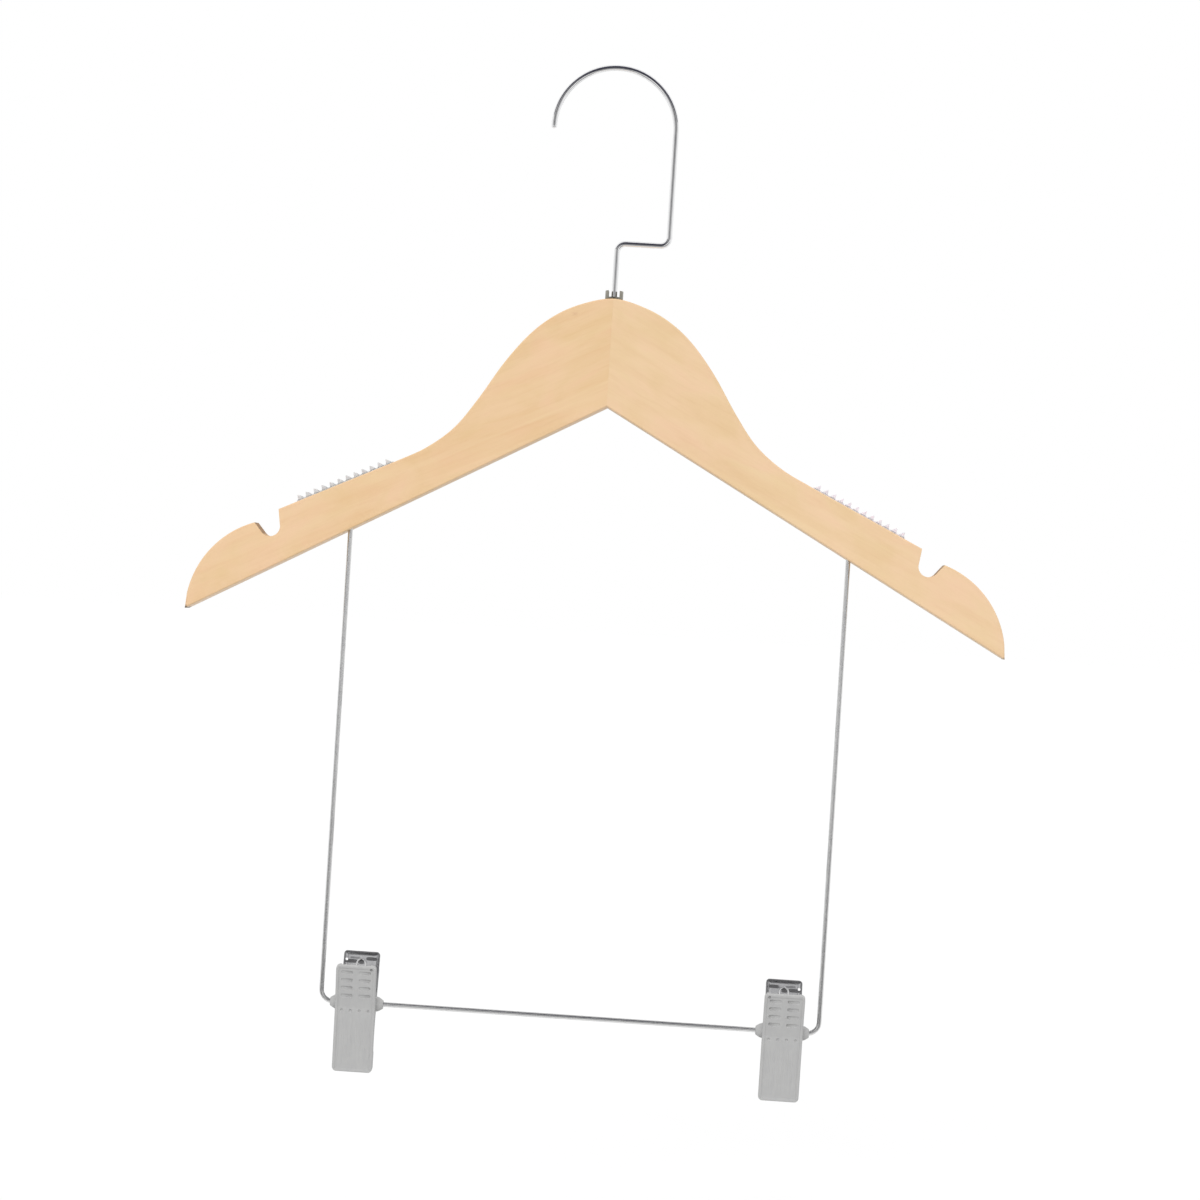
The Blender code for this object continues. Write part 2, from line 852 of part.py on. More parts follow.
def spring_half():
    """From a front leg's end, down, round the coil and up the rear plate to the loop."""
    radius = spring_coil / 2
    leg = Vector((seat_on_plate(spring_leg_reach), spring_leg_reach))
    loop = Vector((seat_on_plate(spring_loop_reach), spring_loop_reach))
    first = math.atan2(leg.x, leg.y) + math.acos(radius / leg.length)
    last = 2 * math.pi - math.atan2(loop.x, loop.y) - math.acos(radius / loop.length)
    sweep = last - first + 2 * math.pi * spring_whole_turns
    steps = math.ceil(sweep / (2 * math.pi) * spring_points_per_turn)
    inner = spring_loop_width / 2
    points = []
    for i in range(steps + 1):
        angle = first + sweep * i / steps
        across = inner + spring_pitch * (sweep - sweep * i / steps) / (2 * math.pi)
        points.append((across, -radius * math.sin(angle), radius * math.cos(angle)))
    across, leg_runs = points[0][0], 3
    foot = Vector((-points[0][1], points[0][2]))
    for i in range(1, leg_runs + 1):
        here = foot.lerp(leg, i / leg_runs)
        points.insert(0, (across, -here.x, here.y))
    foot = Vector((points[-1][1], points[-1][2]))
    rise = (loop - foot).normalized()
    bow = loop - rise * inner
    points += [(inner, *foot.lerp(bow, i / leg_runs)) for i in range(1, leg_runs)]
    for i in range(spring_loop_steps // 2 + 1):
        angle = math.pi * i / spring_loop_steps
        here = bow + rise * inner * math.sin(angle)
        points.append((inner * math.cos(angle), here.x, here.y))
    return points


def least_gap(points, diameter):
    """The least clear distance of a wire to itself, measured between its points."""
    places = [Vector(point) for point in points]
    run = [0.0]
    for a, b in zip(places, places[1:]):
        run.append(run[-1] + (b - a).length)
    least = math.inf
    for i, a in enumerate(places):
        for j in range(i + 1, len(places)):
            if run[j] - run[i] > math.pi * diameter:
                least = min(least, (places[j] - a).length - diameter)
    return least


def make_spring(name, axis):
    half = spring_half()
    points = half + [(-x, y, z) for x, y, z in reversed(half[:-1])]
    wire(name, points, spring_wire, 1, spring_steel, axis)
    gap = least_gap(points, spring_wire)
    print(f"{name}: {len(points)} points, least gap to itself {gap * 1000:.2f} mm")


def make_clip(side_name, side):
    place = (stem_x + side * clip_place, 0, board_top - frame_drop)
    axis = make_empty(side_name + "_clip_axis", place)
    name = side_name + "_clip_"
    make_pivot(name + "pivot", side, axis)
    front, rear, turn = front_plate_half, rear_plate_half, math.pi
    make_plate(name + "front_plate", front, front_plate_reach, 0, axis, 0)
    make_cover(name + "front_cover", clip_half, front, front_cover_reach, 0, axis, -side)
    make_plate(name + "rear_plate", rear, rear_plate_reach, turn, axis, -side)
    make_cover(name + "rear_cover", rear, rear, rear_cover_reach, turn, axis, 0)
    make_spring(name + "spring", axis)


make_hook()
make_washer()
make_insert()
make_arms()
make_dowels()
make_shoulder_grips()
make_drop_frame()
make_clip("left", -1)
make_clip("right", 1)
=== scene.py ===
import json
import math

import bmesh
import bpy
import numpy as np
from mathutils import Matrix, Vector


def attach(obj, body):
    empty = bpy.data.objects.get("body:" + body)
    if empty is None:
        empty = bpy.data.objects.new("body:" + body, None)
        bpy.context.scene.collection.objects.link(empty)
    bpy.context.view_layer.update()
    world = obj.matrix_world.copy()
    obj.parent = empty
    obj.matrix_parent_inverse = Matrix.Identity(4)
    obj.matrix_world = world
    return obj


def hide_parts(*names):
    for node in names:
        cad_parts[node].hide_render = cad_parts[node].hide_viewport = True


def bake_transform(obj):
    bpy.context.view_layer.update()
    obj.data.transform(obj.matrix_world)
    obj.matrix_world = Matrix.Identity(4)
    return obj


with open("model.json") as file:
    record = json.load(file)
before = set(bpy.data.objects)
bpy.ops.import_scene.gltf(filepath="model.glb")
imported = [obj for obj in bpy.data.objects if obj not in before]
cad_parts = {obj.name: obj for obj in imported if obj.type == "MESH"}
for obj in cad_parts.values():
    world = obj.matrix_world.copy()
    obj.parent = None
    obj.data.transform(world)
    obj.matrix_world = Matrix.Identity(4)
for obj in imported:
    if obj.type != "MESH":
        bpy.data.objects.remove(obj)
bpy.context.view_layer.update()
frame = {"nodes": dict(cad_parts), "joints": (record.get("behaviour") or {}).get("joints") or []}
for startupName in ("Cube", "Light", "Camera"):
    startupObject = bpy.data.objects.get(startupName)
    if startupObject is not None:
        bpy.data.objects.remove(startupObject)
print("frame loaded")

# places taken from the joints
jointAt = {joint["name"]: Vector(joint["pos_m"]) for joint in frame["joints"] if "pos_m" in joint}
swivelAt = jointAt["hook_swivel"]
mm = 0.001
flatTurn = math.pi / 2
black = (0.0, 0.0, 0.0)
white = (1.0, 1.0, 1.0)


# node helpers
class NodeKit:
    def __init__(self, tree):
        self.tree = tree

    def add(self, kind, inputs=(), **settings):
        node = self.tree.nodes.new(kind)
        for key, value in settings.items():
            setattr(node, key, value)
        for key, value in dict(inputs).items():
            socket = node.inputs[key]
            if isinstance(value, bpy.types.NodeSocket):
                self.tree.links.new(value, socket)
            else:
                socket.default_value = value
        return node

    def math(self, operation, a, b=0.5, clamp=False):
        node = self.add("ShaderNodeMath", {0: a, 1: b}, operation=operation, use_clamp=clamp)
        return node.outputs[0]

    def ramp(self, factor, stops):
        node = self.add("ShaderNodeValToRGB", {"Fac": factor})
        ramp = node.color_ramp
        while len(ramp.elements) < len(stops):
            ramp.elements.new(1.0)
        for element, (place, color) in zip(ramp.elements, stops):
            element.position = place
            element.color = (*color, 1.0) if len(color) == 3 else color
        return node.outputs["Color"]

    def fade(self, factor, ends, first=black, second=white):
        # from the first colour to the second as the factor goes from end to end
        return self.ramp(factor, list(zip(ends, (first, second))))

    def mixColor(self, factor, a, b, blend="MIX"):
        node = self.add("ShaderNodeMix", data_type="RGBA", blend_type=blend)
        for socket, value in ((node.inputs[0], factor), (node.inputs[6], a), (node.inputs[7], b)):
            if isinstance(value, bpy.types.NodeSocket):
                self.tree.links.new(value, socket)
            elif socket.type == "RGBA":
                socket.default_value = (*value, 1.0)
            else:
                socket.default_value = value
        return node.outputs[2]

    def tint(self, color, other, mask, share):
        return self.mixColor(self.math("MULTIPLY", mask, share), color, other)

    def mapping(self, vector, **settings):
        return self.add("ShaderNodeMapping", {"Vector": vector, **settings}).outputs["Vector"]

    def noise(self, vector, scale, detail=3.0, roughness=0.5, distortion=0.0):
        settings = {"Vector": vector, "Scale": scale, "Detail": detail}
        settings.update({"Roughness": roughness, "Distortion": distortion})
        return self.add("ShaderNodeTexNoise", settings).outputs["Fac"]


def startMaterial(name):
    material = bpy.data.materials.new(name)
    material.use_nodes = True
    kit = NodeKit(material.node_tree)
    shader = material.node_tree.nodes["Principled BSDF"]
    place = kit.add("ShaderNodeTexCoord").outputs["Object"]
    return material, kit, shader, place


def addBump(kit, shader, height, strength, distance):
    bump = kit.add("ShaderNodeBump", {"Height": height, "Strength": strength, "Distance": distance})
    kit.tree.links.new(bump.outputs["Normal"], shader.inputs["Normal"])


# wood: soft streaks along each arm, a cloudy figure, a few darker pores, darker tips and a thin clear lacquer
woodSides = {
    "left": {
        "turn": 25.6,
        "pale": (0.872, 0.625, 0.365),
        "deep": (0.828, 0.55, 0.303),
        "cloud": (0.88, 0.615, 0.375),
        "tipReach": 2.3 * mm,
        "tipDark": 0.9,
        "fleckAt": (-16.0 * mm, -7.5 * mm),
    },
    "right": {
        "turn": -27.0,
        "pale": (0.882, 0.645, 0.39),
        "deep": (0.85, 0.593, 0.352),
        "cloud": (0.895, 0.63, 0.4),
        "tipReach": 1.6 * mm,
        "tipDark": 0.6,
    },
}
woodLook = {
    "streakStretch": (0.07, 0.7, 1.0),
    "bands": {"scale": 190.0, "detail": 4.0, "roughness": 0.55, "distortion": 0.8},
    "bandEnds": (0.34, 0.7),
    "lines": {"scale": 900.0, "detail": 6.0, "roughness": 0.62, "distortion": 0.4},
    "lineTints": ((0.3, (0.9, 0.85, 0.78)), (0.5, white), (0.8, (1.0, 1.0, 0.99))),
    "lineShare": 0.27,
    "figureStretch": (0.45, 0.6, 1.0),
    "clouds": {"scale": 46.0, "detail": 4.0, "roughness": 0.6, "distortion": 1.2},
    "cloudEnds": (0.42, 0.62),
    "cloudShare": 0.7,
    "patchShift": (3.0, 0, 0),
    "patches": {"scale": 72.0, "detail": 3.0, "roughness": 0.55, "distortion": 0.9},
    "patchTints": ((0.36, (0.955, 0.95, 0.89)), (0.5, (0.985, 0.98, 0.97)), (0.64, (1.0, 0.965, 0.99))),
    "patchShare": 0.85,
    "poreStretch": (0.09, 1.0, 1.0),
    "poreScale": 1400.0,
    "poreEnds": (0.03, 0.11),
    "poreSpread": 90.0,
    "poreColor": (0.62, 0.4, 0.23),
    "poreShare": 0.35,
    "endGrain": (0.43, 0.26, 0.13),
    "endEnds": (0.86, 0.97),
    "endShare": 0.85,
    "tipColor": (0.1, 0.07, 0.04),
    "tipEdge": {"spread": 1.0, "ragScale": 900.0, "rag": 0.5, "ends": (0.55, 0.98)},
    "fleckColor": (0.7, 0.43, 0.25),
    "fleckReach": 2.2 * mm,
    "fleckShare": 0.6,
    "fleckEdge": {"spread": 0.6, "ragScale": 1500.0, "rag": 1.0, "ends": (0.5, 1.0)},
    "roughness": 0.34,
    "roughSwing": 0.16,
    "coat": 0.22,
    "coatRoughness": 0.3,
    "specular": 0.35,
    "poreBump": 0.6,
    "bump": (0.12, 0.2 * mm),
}


def spotMask(kit, place, spot, reach, edge):
    # 1 at a spot on the face, falling to 0 over its reach with a ragged edge
    offset = kit.add("ShaderNodeVectorMath", {0: place, 1: tuple(spot)}, operation="SUBTRACT").outputs["Vector"]
    flat = kit.mapping(offset, Scale=(edge["spread"], 0, 1.0))
    away = kit.add("ShaderNodeVectorMath", {0: flat}, operation="LENGTH").outputs["Value"]
    rag = kit.math("MULTIPLY", kit.noise(place, edge["ragScale"]), edge["rag"])
    ragged = kit.math("ADD", kit.math("DIVIDE", away, reach), rag)
    return kit.fade(ragged, edge["ends"], white, black)


def makeWood(sideName, side):
    look = {**woodLook, **woodSides[sideName]}
    material, kit, shader, place = startMaterial(sideName + "ArmWood")
    turned = kit.mapping(place, Rotation=(0, math.radians(look["turn"]), 0))
    stretched = kit.mapping(turned, Scale=look["streakStretch"])
    lines = kit.noise(stretched, **look["lines"])
    bands = kit.noise(stretched, **look["bands"])
    figure = kit.mapping(turned, Scale=look["figureStretch"])
    clouds = kit.noise(figure, **look["clouds"])
    color = kit.fade(bands, look["bandEnds"], look["pale"], look["deep"])
    color = kit.tint(color, look["cloud"], kit.fade(clouds, look["cloudEnds"]), look["cloudShare"])
    color = kit.mixColor(look["lineShare"], color, kit.ramp(lines, look["lineTints"]), "MULTIPLY")
    patches = kit.noise(kit.mapping(figure, Location=look["patchShift"]), **look["patches"])
    color = kit.mixColor(look["patchShare"], color, kit.ramp(patches, look["patchTints"]), "MULTIPLY")
    cells = {"Vector": kit.mapping(turned, Scale=look["poreStretch"]), "Scale": look["poreScale"]}
    pores = kit.add("ShaderNodeTexVoronoi", cells).outputs["Distance"]
    poreMask = kit.fade(pores, look["poreEnds"], white, black)
    poreMask = kit.math("MULTIPLY", poreMask, kit.noise(turned, look["poreSpread"]), True)
    color = kit.tint(color, look["poreColor"], poreMask, look["poreShare"])
    across = kit.add("ShaderNodeAttribute", attribute_name="endGrain").outputs["Fac"]
    color = kit.tint(color, look["endGrain"], kit.fade(across, look["endEnds"]), look["endShare"])
    tip = swivelAt + Vector((side * bodySizes["halfSpan"], 0, undersideZ(bodySizes["halfSpan"])))
    tipMask = spotMask(kit, place, tip, look["tipReach"], look["tipEdge"])
    color = kit.tint(color, look["tipColor"], tipMask, look["tipDark"])
    if "fleckAt" in look:
        fleckX, fleckZ = look["fleckAt"]
        fleck = swivelAt + Vector((fleckX, 0, fleckZ))
        fleckMask = spotMask(kit, place, fleck, look["fleckReach"], look["fleckEdge"])
        color = kit.tint(color, look["fleckColor"], fleckMask, look["fleckShare"])
    kit.tree.links.new(color, shader.inputs["Base Color"])
    rough = kit.math("ADD", kit.math("MULTIPLY", lines, look["roughSwing"]), look["roughness"])
    kit.tree.links.new(rough, shader.inputs["Roughness"])
    shader.inputs["Coat Weight"].default_value = look["coat"]
    shader.inputs["Coat Roughness"].default_value = look["coatRoughness"]
    shader.inputs["Specular IOR Level"].default_value = look["specular"]
    sunk = kit.math("SUBTRACT", lines, kit.math("MULTIPLY", poreMask, look["poreBump"]))
    addBump(kit, shader, sunk, *look["bump"])
    return material


# metals: polish with clouds of haze and fine specks, the pressed steel also with painted shade at its rims and
# dents
metalLooks = {
    "hookChrome": {"color": (0.83, 0.83, 0.835), "shade": (0.74, 0.74, 0.76), "rough": 0.06, "haze": 0.16},
    "frameZinc": {"color": (0.69, 0.69, 0.69), "shade": (0.58, 0.58, 0.59), "rough": 0.18, "haze": 0.32},
    "insertNickel": {"color": (0.31, 0.295, 0.255), "shade": (0.16, 0.145, 0.115), "rough": 0.18, "haze": 0.4},
    "trayChrome": {
        "color": (0.56, 0.56, 0.57),
        "shade": (0.42, 0.42, 0.43),
        "paintedShade": (0.27, 0.27, 0.275),
        "rough": 0.13,
        "haze": 0.5,
    },
    "springSteel": {"color": (0.94, 0.94, 0.94), "shade": (0.76, 0.76, 0.76), "rough": 0.12, "haze": 0.32},
}
metalSkin = {
    "clouds": {"scale": 160.0, "detail": 4.0, "roughness": 0.6},
    "cloudEnds": (0.46, 0.78),
    "cloudShare": 0.7,
    "specks": {"scale": 2600.0, "detail": 3.0, "roughness": 0.55},
    "paintedShadeRough": 0.35,
    "bump": (0.05, 0.05 * mm),
}


def makeMetal(name):
    look = {**metalSkin, **metalLooks[name]}
    material, kit, shader, place = startMaterial(name)
    clouds = kit.noise(place, **look["clouds"])
    specks = kit.noise(place, **look["specks"])
    color = kit.tint(look["color"], look["shade"], kit.fade(clouds, look["cloudEnds"]), look["cloudShare"])
    haze = kit.math("MULTIPLY", kit.math("MULTIPLY", clouds, specks), look["haze"])
    rough = kit.math("ADD", haze, look["rough"], True)
    # painted shade on the trays, read from their attribute, darkens and roughens the steel
    if "paintedShade" in look:
        marked = kit.add("ShaderNodeAttribute", attribute_name="paintedShade").outputs["Fac"]
        color = kit.mixColor(marked, color, look["paintedShade"])
        rough = kit.math("ADD", rough, kit.math("MULTIPLY", marked, look["paintedShadeRough"]), True)
    kit.tree.links.new(color, shader.inputs["Base Color"])
    kit.tree.links.new(rough, shader.inputs["Roughness"])
    shader.inputs["Metallic"].default_value = 1.0
    addBump(kit, shader, specks, *look["bump"])
    return material


# plastics: a moulded skin with a fine pebble, a faint mottling and drawn lines
plasticLooks = {
    "coverGrey": {
        "color": (0.492, 0.492, 0.487),
        "mottle": (0.458, 0.458, 0.458),
        "rough": 0.46,
        "bump": (0.16, 0.1 * mm),
    },
    "pivotGrey": {
        "color": (0.49, 0.49, 0.485),
        "mottle": (0.455, 0.455, 0.455),
        "rough": 0.34,
        "bump": (0.08, 0.1 * mm),
    },
}
plasticSkin = {
    "clouds": {"scale": 230.0, "detail": 4.0, "roughness": 0.6},
    "pebble": {"scale": 3600.0, "detail": 2.0, "roughness": 0.5},
    "drawnStretch": (1.0, 1.0, 0.06),
    "drawn": {"scale": 900.0, "detail": 3.0, "roughness": 0.5},
    "drawnShare": 0.4,
    "mottleEnds": (0.38, 0.66),
    "roughSwing": 0.12,
    "specular": 0.4,
}


def makePlastic(name):
    look = {**plasticSkin, **plasticLooks[name]}
    material, kit, shader, place = startMaterial(name)
    clouds = kit.noise(place, **look["clouds"])
    pebble = kit.noise(place, **look["pebble"])
    drawn = kit.noise(kit.mapping(place, Scale=look["drawnStretch"]), **look["drawn"])
    clouds = kit.math("MULTIPLY", clouds, 1 - look["drawnShare"])
    marks = kit.math("ADD", clouds, kit.math("MULTIPLY", drawn, look["drawnShare"]))
    shade = kit.fade(marks, look["mottleEnds"])
    kit.tree.links.new(kit.mixColor(shade, look["color"], look["mottle"]), shader.inputs["Base Color"])
    rough = kit.math("ADD", kit.math("MULTIPLY", pebble, look["roughSwing"]), look["rough"])
    kit.tree.links.new(rough, shader.inputs["Roughness"])
    shader.inputs["Specular IOR Level"].default_value = look["specular"]
    addBump(kit, shader, pebble, *look["bump"])
    return material


# silicone: milky, greyer on the left arm and pinker on the right, with cloudiness inside
siliconeLooks = {
    "left": {"color": (0.7, 0.68, 0.67), "cloud": (0.62, 0.61, 0.61)},
    "right": {"color": (0.88, 0.79, 0.84), "cloud": (0.8, 0.74, 0.78)},
}
siliconeSkin = {
    "clouds": {"scale": 300.0, "detail": 3.0, "roughness": 0.5},
    "cloudEnds": (0.35, 0.7),
    "rough": 0.34,
    "roughSwing": 0.2,
    "scatter": 0.6,
    "scatterRadius": (1.0, 0.9, 0.9),
    "scatterScale": 0.8 * mm,
    "ior": 1.41,
    "bumpScale": 1800.0,
    "bump": (0.06, 0.1 * mm),
}


def makeSilicone(side):
    look = {**siliconeSkin, **siliconeLooks[side]}
    material, kit, shader, place = startMaterial(side + "GripSilicone")
    clouds = kit.noise(place, **look["clouds"])
    color = kit.fade(clouds, look["cloudEnds"], look["cloud"], look["color"])
    kit.tree.links.new(color, shader.inputs["Base Color"])
    rough = kit.math("ADD", kit.math("MULTIPLY", clouds, look["roughSwing"]), look["rough"])
    kit.tree.links.new(rough, shader.inputs["Roughness"])
    shader.inputs["Subsurface Weight"].default_value = look["scatter"]
    shader.inputs["Subsurface Radius"].default_value = look["scatterRadius"]
    shader.inputs["Subsurface Scale"].default_value = look["scatterScale"]
    shader.inputs["IOR"].default_value = look["ior"]
    addBump(kit, shader, kit.noise(place, look["bumpScale"]), *look["bump"])
    return material


# dowels: plain turned beech
dowelLook = {
    "stretch": (0.06, 1.0, 1.0),
    "grain": {"scale": 1200.0, "detail": 5.0, "roughness": 0.6},
    "grainEnds": (0.35, 0.7),
    "deep": (0.62, 0.4, 0.22),
    "pale": (0.74, 0.52, 0.31),
    "rough": 0.5,
    "roughSwing": 0.2,
    "bump": (0.2, 0.2 * mm),
}


def makeDowelWood():
    look = dowelLook
    material, kit, shader, place = startMaterial("dowelBeech")
    grain = kit.noise(kit.mapping(place, Scale=look["stretch"]), **look["grain"])
    color = kit.fade(grain, look["grainEnds"], look["deep"], look["pale"])
    kit.tree.links.new(color, shader.inputs["Base Color"])
    rough = kit.math("ADD", kit.math("MULTIPLY", grain, look["roughSwing"]), look["rough"])
    kit.tree.links.new(rough, shader.inputs["Roughness"])
    addBump(kit, shader, grain, *look["bump"])
    return material


metals = {name: makeMetal(name) for name in metalLooks}
plastics = {name: makePlastic(name) for name in plasticLooks}
silicones = {side: makeSilicone(side) for side in ("left", "right")}
dowelWood = makeDowelWood()
print("materials ready")


# mesh helpers
def pieceFrom(name, work, smoothAngle=35.0):
    bmesh.ops.recalc_face_normals(work, faces=work.faces[:])
    mesh = bpy.data.meshes.new(name)
    work.to_mesh(mesh)
    work.free()
    mesh.shade_smooth()
    mesh.set_sharp_from_angle(angle=math.radians(smoothAngle))
    piece = bpy.data.objects.new(name, mesh)
    bpy.context.scene.collection.objects.link(piece)
    return piece


def bakeModifiers(piece):
    graph = bpy.context.evaluated_depsgraph_get()
    solid = bpy.data.meshes.new_from_object(piece.evaluated_get(graph))
    piece.modifiers.clear()
    piece.data = solid
    return piece


def softenEdges(piece, width, segments=2, limit=35.0):
    bevel = piece.modifiers.new("softEdges", "BEVEL")
    bevel.width = width
    bevel.segments = segments
    bevel.limit_method = "ANGLE"
    bevel.angle_limit = math.radians(limit)
    bevel.use_clamp_overlap = True
    return piece


def keepFlats(piece):
    weighted = piece.modifiers.new("keepFlats", "WEIGHTED_NORMAL")
    weighted.keep_sharp = True
    return piece


def cutAway(piece, cutter):
    boolean = piece.modifiers.new("cut", "BOOLEAN")
    boolean.operation = "DIFFERENCE"
    boolean.solver = "EXACT"
    boolean.object = cutter
    bakeModifiers(piece)
    bpy.data.objects.remove(cutter)
    return piece


def dress(piece, material, slotName, body, *nodes):
    piece.data.materials.clear()
    piece.data.materials.append(material)
    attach(piece, body)
    if nodes:
        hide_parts(*nodes)
    return piece


def joinRings(work, rings, closeEnds=True):
    count = len(rings[0])
    if closeEnds:
        work.faces.new(rings[0])
        work.faces.new(reversed(rings[-1]))
    for ring, after in zip(rings, rings[1:]):
        for i in range(count):
            j = (i + 1) % count
            work.faces.new((ring[i], after[i], after[j], ring[j]))


def sweepTube(name, path, radii, sides, smoothAngle=50.0):
    # rings carried along the path without twisting
    points = [Vector(point) for point in path]
    tangents = []
    for i in range(len(points)):
        ahead = points[min(i + 1, len(points) - 1)] - points[max(i - 1, 0)]
        tangents.append(ahead.normalized())
    across = tangents[0].orthogonal().normalized()
    work = bmesh.new()
    rings = []
    for i, point in enumerate(points):
        if i:
            across = tangents[i - 1].rotation_difference(tangents[i]) @ across
            across = (across - tangents[i] * across.dot(tangents[i])).normalized()
        other = tangents[i].cross(across)
        ring = []
        for k in range(sides):
            angle = 2 * math.pi * k / sides
            offset = (across * math.cos(angle) + other * math.sin(angle)) * radii[i]
            ring.append(work.verts.new(point + offset))
        rings.append(ring)
    joinRings(work, rings)
    return pieceFrom(name, work, smoothAngle)


def lathe(name, profile, sides, place, smoothAngle=35.0):
    work = bmesh.new()
    rings = []
    for step in range(sides):
        angle = 2 * math.pi * step / sides
        ring = [
            work.verts.new(place @ Vector((r * math.cos(angle), r * math.sin(angle), h)))
            for r, h in profile
        ]
        rings.append(ring)
    joinRings(work, [*rings, rings[0]], closeEnds=False)
    return pieceFrom(name, work, smoothAngle)


def arcPoints(center, radius, start, end, steps):
    angles = [math.radians(start + (end - start) * i / steps) for i in range(steps + 1)]
    return [(center[0] + radius * math.cos(a), center[1] + radius * math.sin(a)) for a in angles]


def roundCorner(before, corner, after, radius, steps):
    here = Vector(corner)
    back = (Vector(before) - here).normalized()
    ahead = (Vector(after) - here).normalized()
    half = back.angle(ahead) / 2
    reach = radius / math.tan(half)
    center = here + (back + ahead).normalized() * radius / math.sin(half)
    start = here + back * reach - center
    turn = (here + ahead * reach - center).angle_signed(start)
    return [tuple(center + Matrix.Rotation(turn * i / steps, 2) @ start) for i in range(steps + 1)]


def offsetLine(points, distance):
    # sideways, to the right of the line's direction of travel
    moved = []
    for i, point in enumerate(points):
        here = Vector(point)
        runs = []
        if i > 0:
            runs.append((here - Vector(points[i - 1])).normalized())
        if i < len(points) - 1:
            runs.append((Vector(points[i + 1]) - here).normalized())
        normals = [Vector((run.y, -run.x)) for run in runs]
        middle = sum(normals, Vector((0, 0))).normalized()
        moved.append(tuple(here + middle * distance / middle.dot(normals[0])))
    return moved


def roundedProfile(corners, radius, steps=4, nearlyStraight=85.0, edgeShare=0.45):
    # closed outline with each corner rounded, the radius kept within its edges
    count = len(corners)
    outline = []
    for i, corner in enumerate(corners):
        before, after = corners[i - 1], corners[(i + 1) % count]
        here = Vector(corner)
        back, ahead = Vector(before) - here, Vector(after) - here
        half = back.angle(ahead) / 2
        if half > math.radians(nearlyStraight):
            outline.append(corner)
            continue
        room = min(back.length, ahead.length) * edgeShare * math.tan(half)
        outline += roundCorner(before, corner, after, min(radius, room), steps)
    return outline


def addBox(work, size, matrix):
    bmesh.ops.create_cube(work, size=1, matrix=matrix @ Matrix.Diagonal((*size, 1)))


def addRod(work, radius, length, sides, matrix):
    bmesh.ops.create_cone(
        work, cap_ends=True, segments=sides, radius1=radius, radius2=radius, depth=length, matrix=matrix
    )


# hook
hookSizes = {
    "wire": 2.4 * mm,
    "crookRadius": 26.1 * mm,
    "stepHeight": 24.2 * mm,
    "bend": 3.6 * mm,
    "headTop": -15.4 * mm,
    "headRadius": 2.0 * mm,
    "headHeight": 1.2 * mm,
    "headSwell": ((0.1, 0.6), (0.25, 0.92), (0.45, 1.0), (0.8, 1.0), (0.95, 0.9), (1.0, 0.7)),
    "crookSteps": 72,
    "bendSteps": 14,
    "tipSteps": 6,
    "stemSteps": 10,
    "sides": 28,
}


def makeHook():
    size = hookSizes
    radius = size["wire"] / 2
    crook = size["crookRadius"]
    stepZ = swivelAt.z + size["stepHeight"]
    headZ = swivelAt.z + size["headTop"]
    path = arcPoints((0, radius - crook), crook, 180, 0, size["crookSteps"])
    corners = [path[-1], (crook, stepZ), (swivelAt.x, stepZ), (swivelAt.x, headZ)]
    for i in (0, 1):
        path += roundCorner(*corners[i : i + 3], size["bend"], size["bendSteps"])
    radii = [radius] * len(path)
    tip = path[0]
    for i in range(1, size["tipSteps"] + 1):
        angle = flatTurn * i / (size["tipSteps"] + 0.5)
        path.insert(0, (tip[0], tip[1] - radius * math.sin(angle)))
        radii.insert(0, radius * math.cos(angle))
    topZ = path[-1][1]
    steps = size["stemSteps"]
    path += [(swivelAt.x, topZ + (headZ - topZ) * i / steps) for i in range(1, steps + 1)]
    radii += [radius] * steps
    for along, share in size["headSwell"]:
        path.append((swivelAt.x, headZ - along * size["headHeight"]))
        radii.append(radius + (size["headRadius"] - radius) * share)
    hook = sweepTube("hookWire", [(x, 0, z) for x, z in path], radii, size["sides"])
    dress(hook, metals["hookChrome"], "chrome_wire", "hook", "hook_wire")


# slotted insert in the neck, with the thrust washer below it
insertSizes = {
    "bore": 1.5 * mm,
    "shank": 3.0 * mm,
    "barb": 0.4 * mm,
    "barbs": 4,
    "barbLand": 0.05 * mm,
    "length": 14.0 * mm,
    "head": 3.85 * mm,
    "headLift": 0.15 * mm,
    "headHeight": 3.8 * mm,
    "floor": 0.9 * mm,
    "wall": 1.1 * mm,
    "slot": 4.7 * mm,
    "slotLift": 0.1 * mm,
    "turnedRound": 0.25 * mm,
    "roundSteps": 3,
    "sides": 64,
    "softEdge": 0.12 * mm,
    "softAngle": 50.0,
    "washerSides": 48,
    "washerRound": 0.2 * mm,
    "washerRadius": 2.9 * mm,
    "washerTop": -14.3 * mm,
    "washerThickness": 0.8 * mm,
}


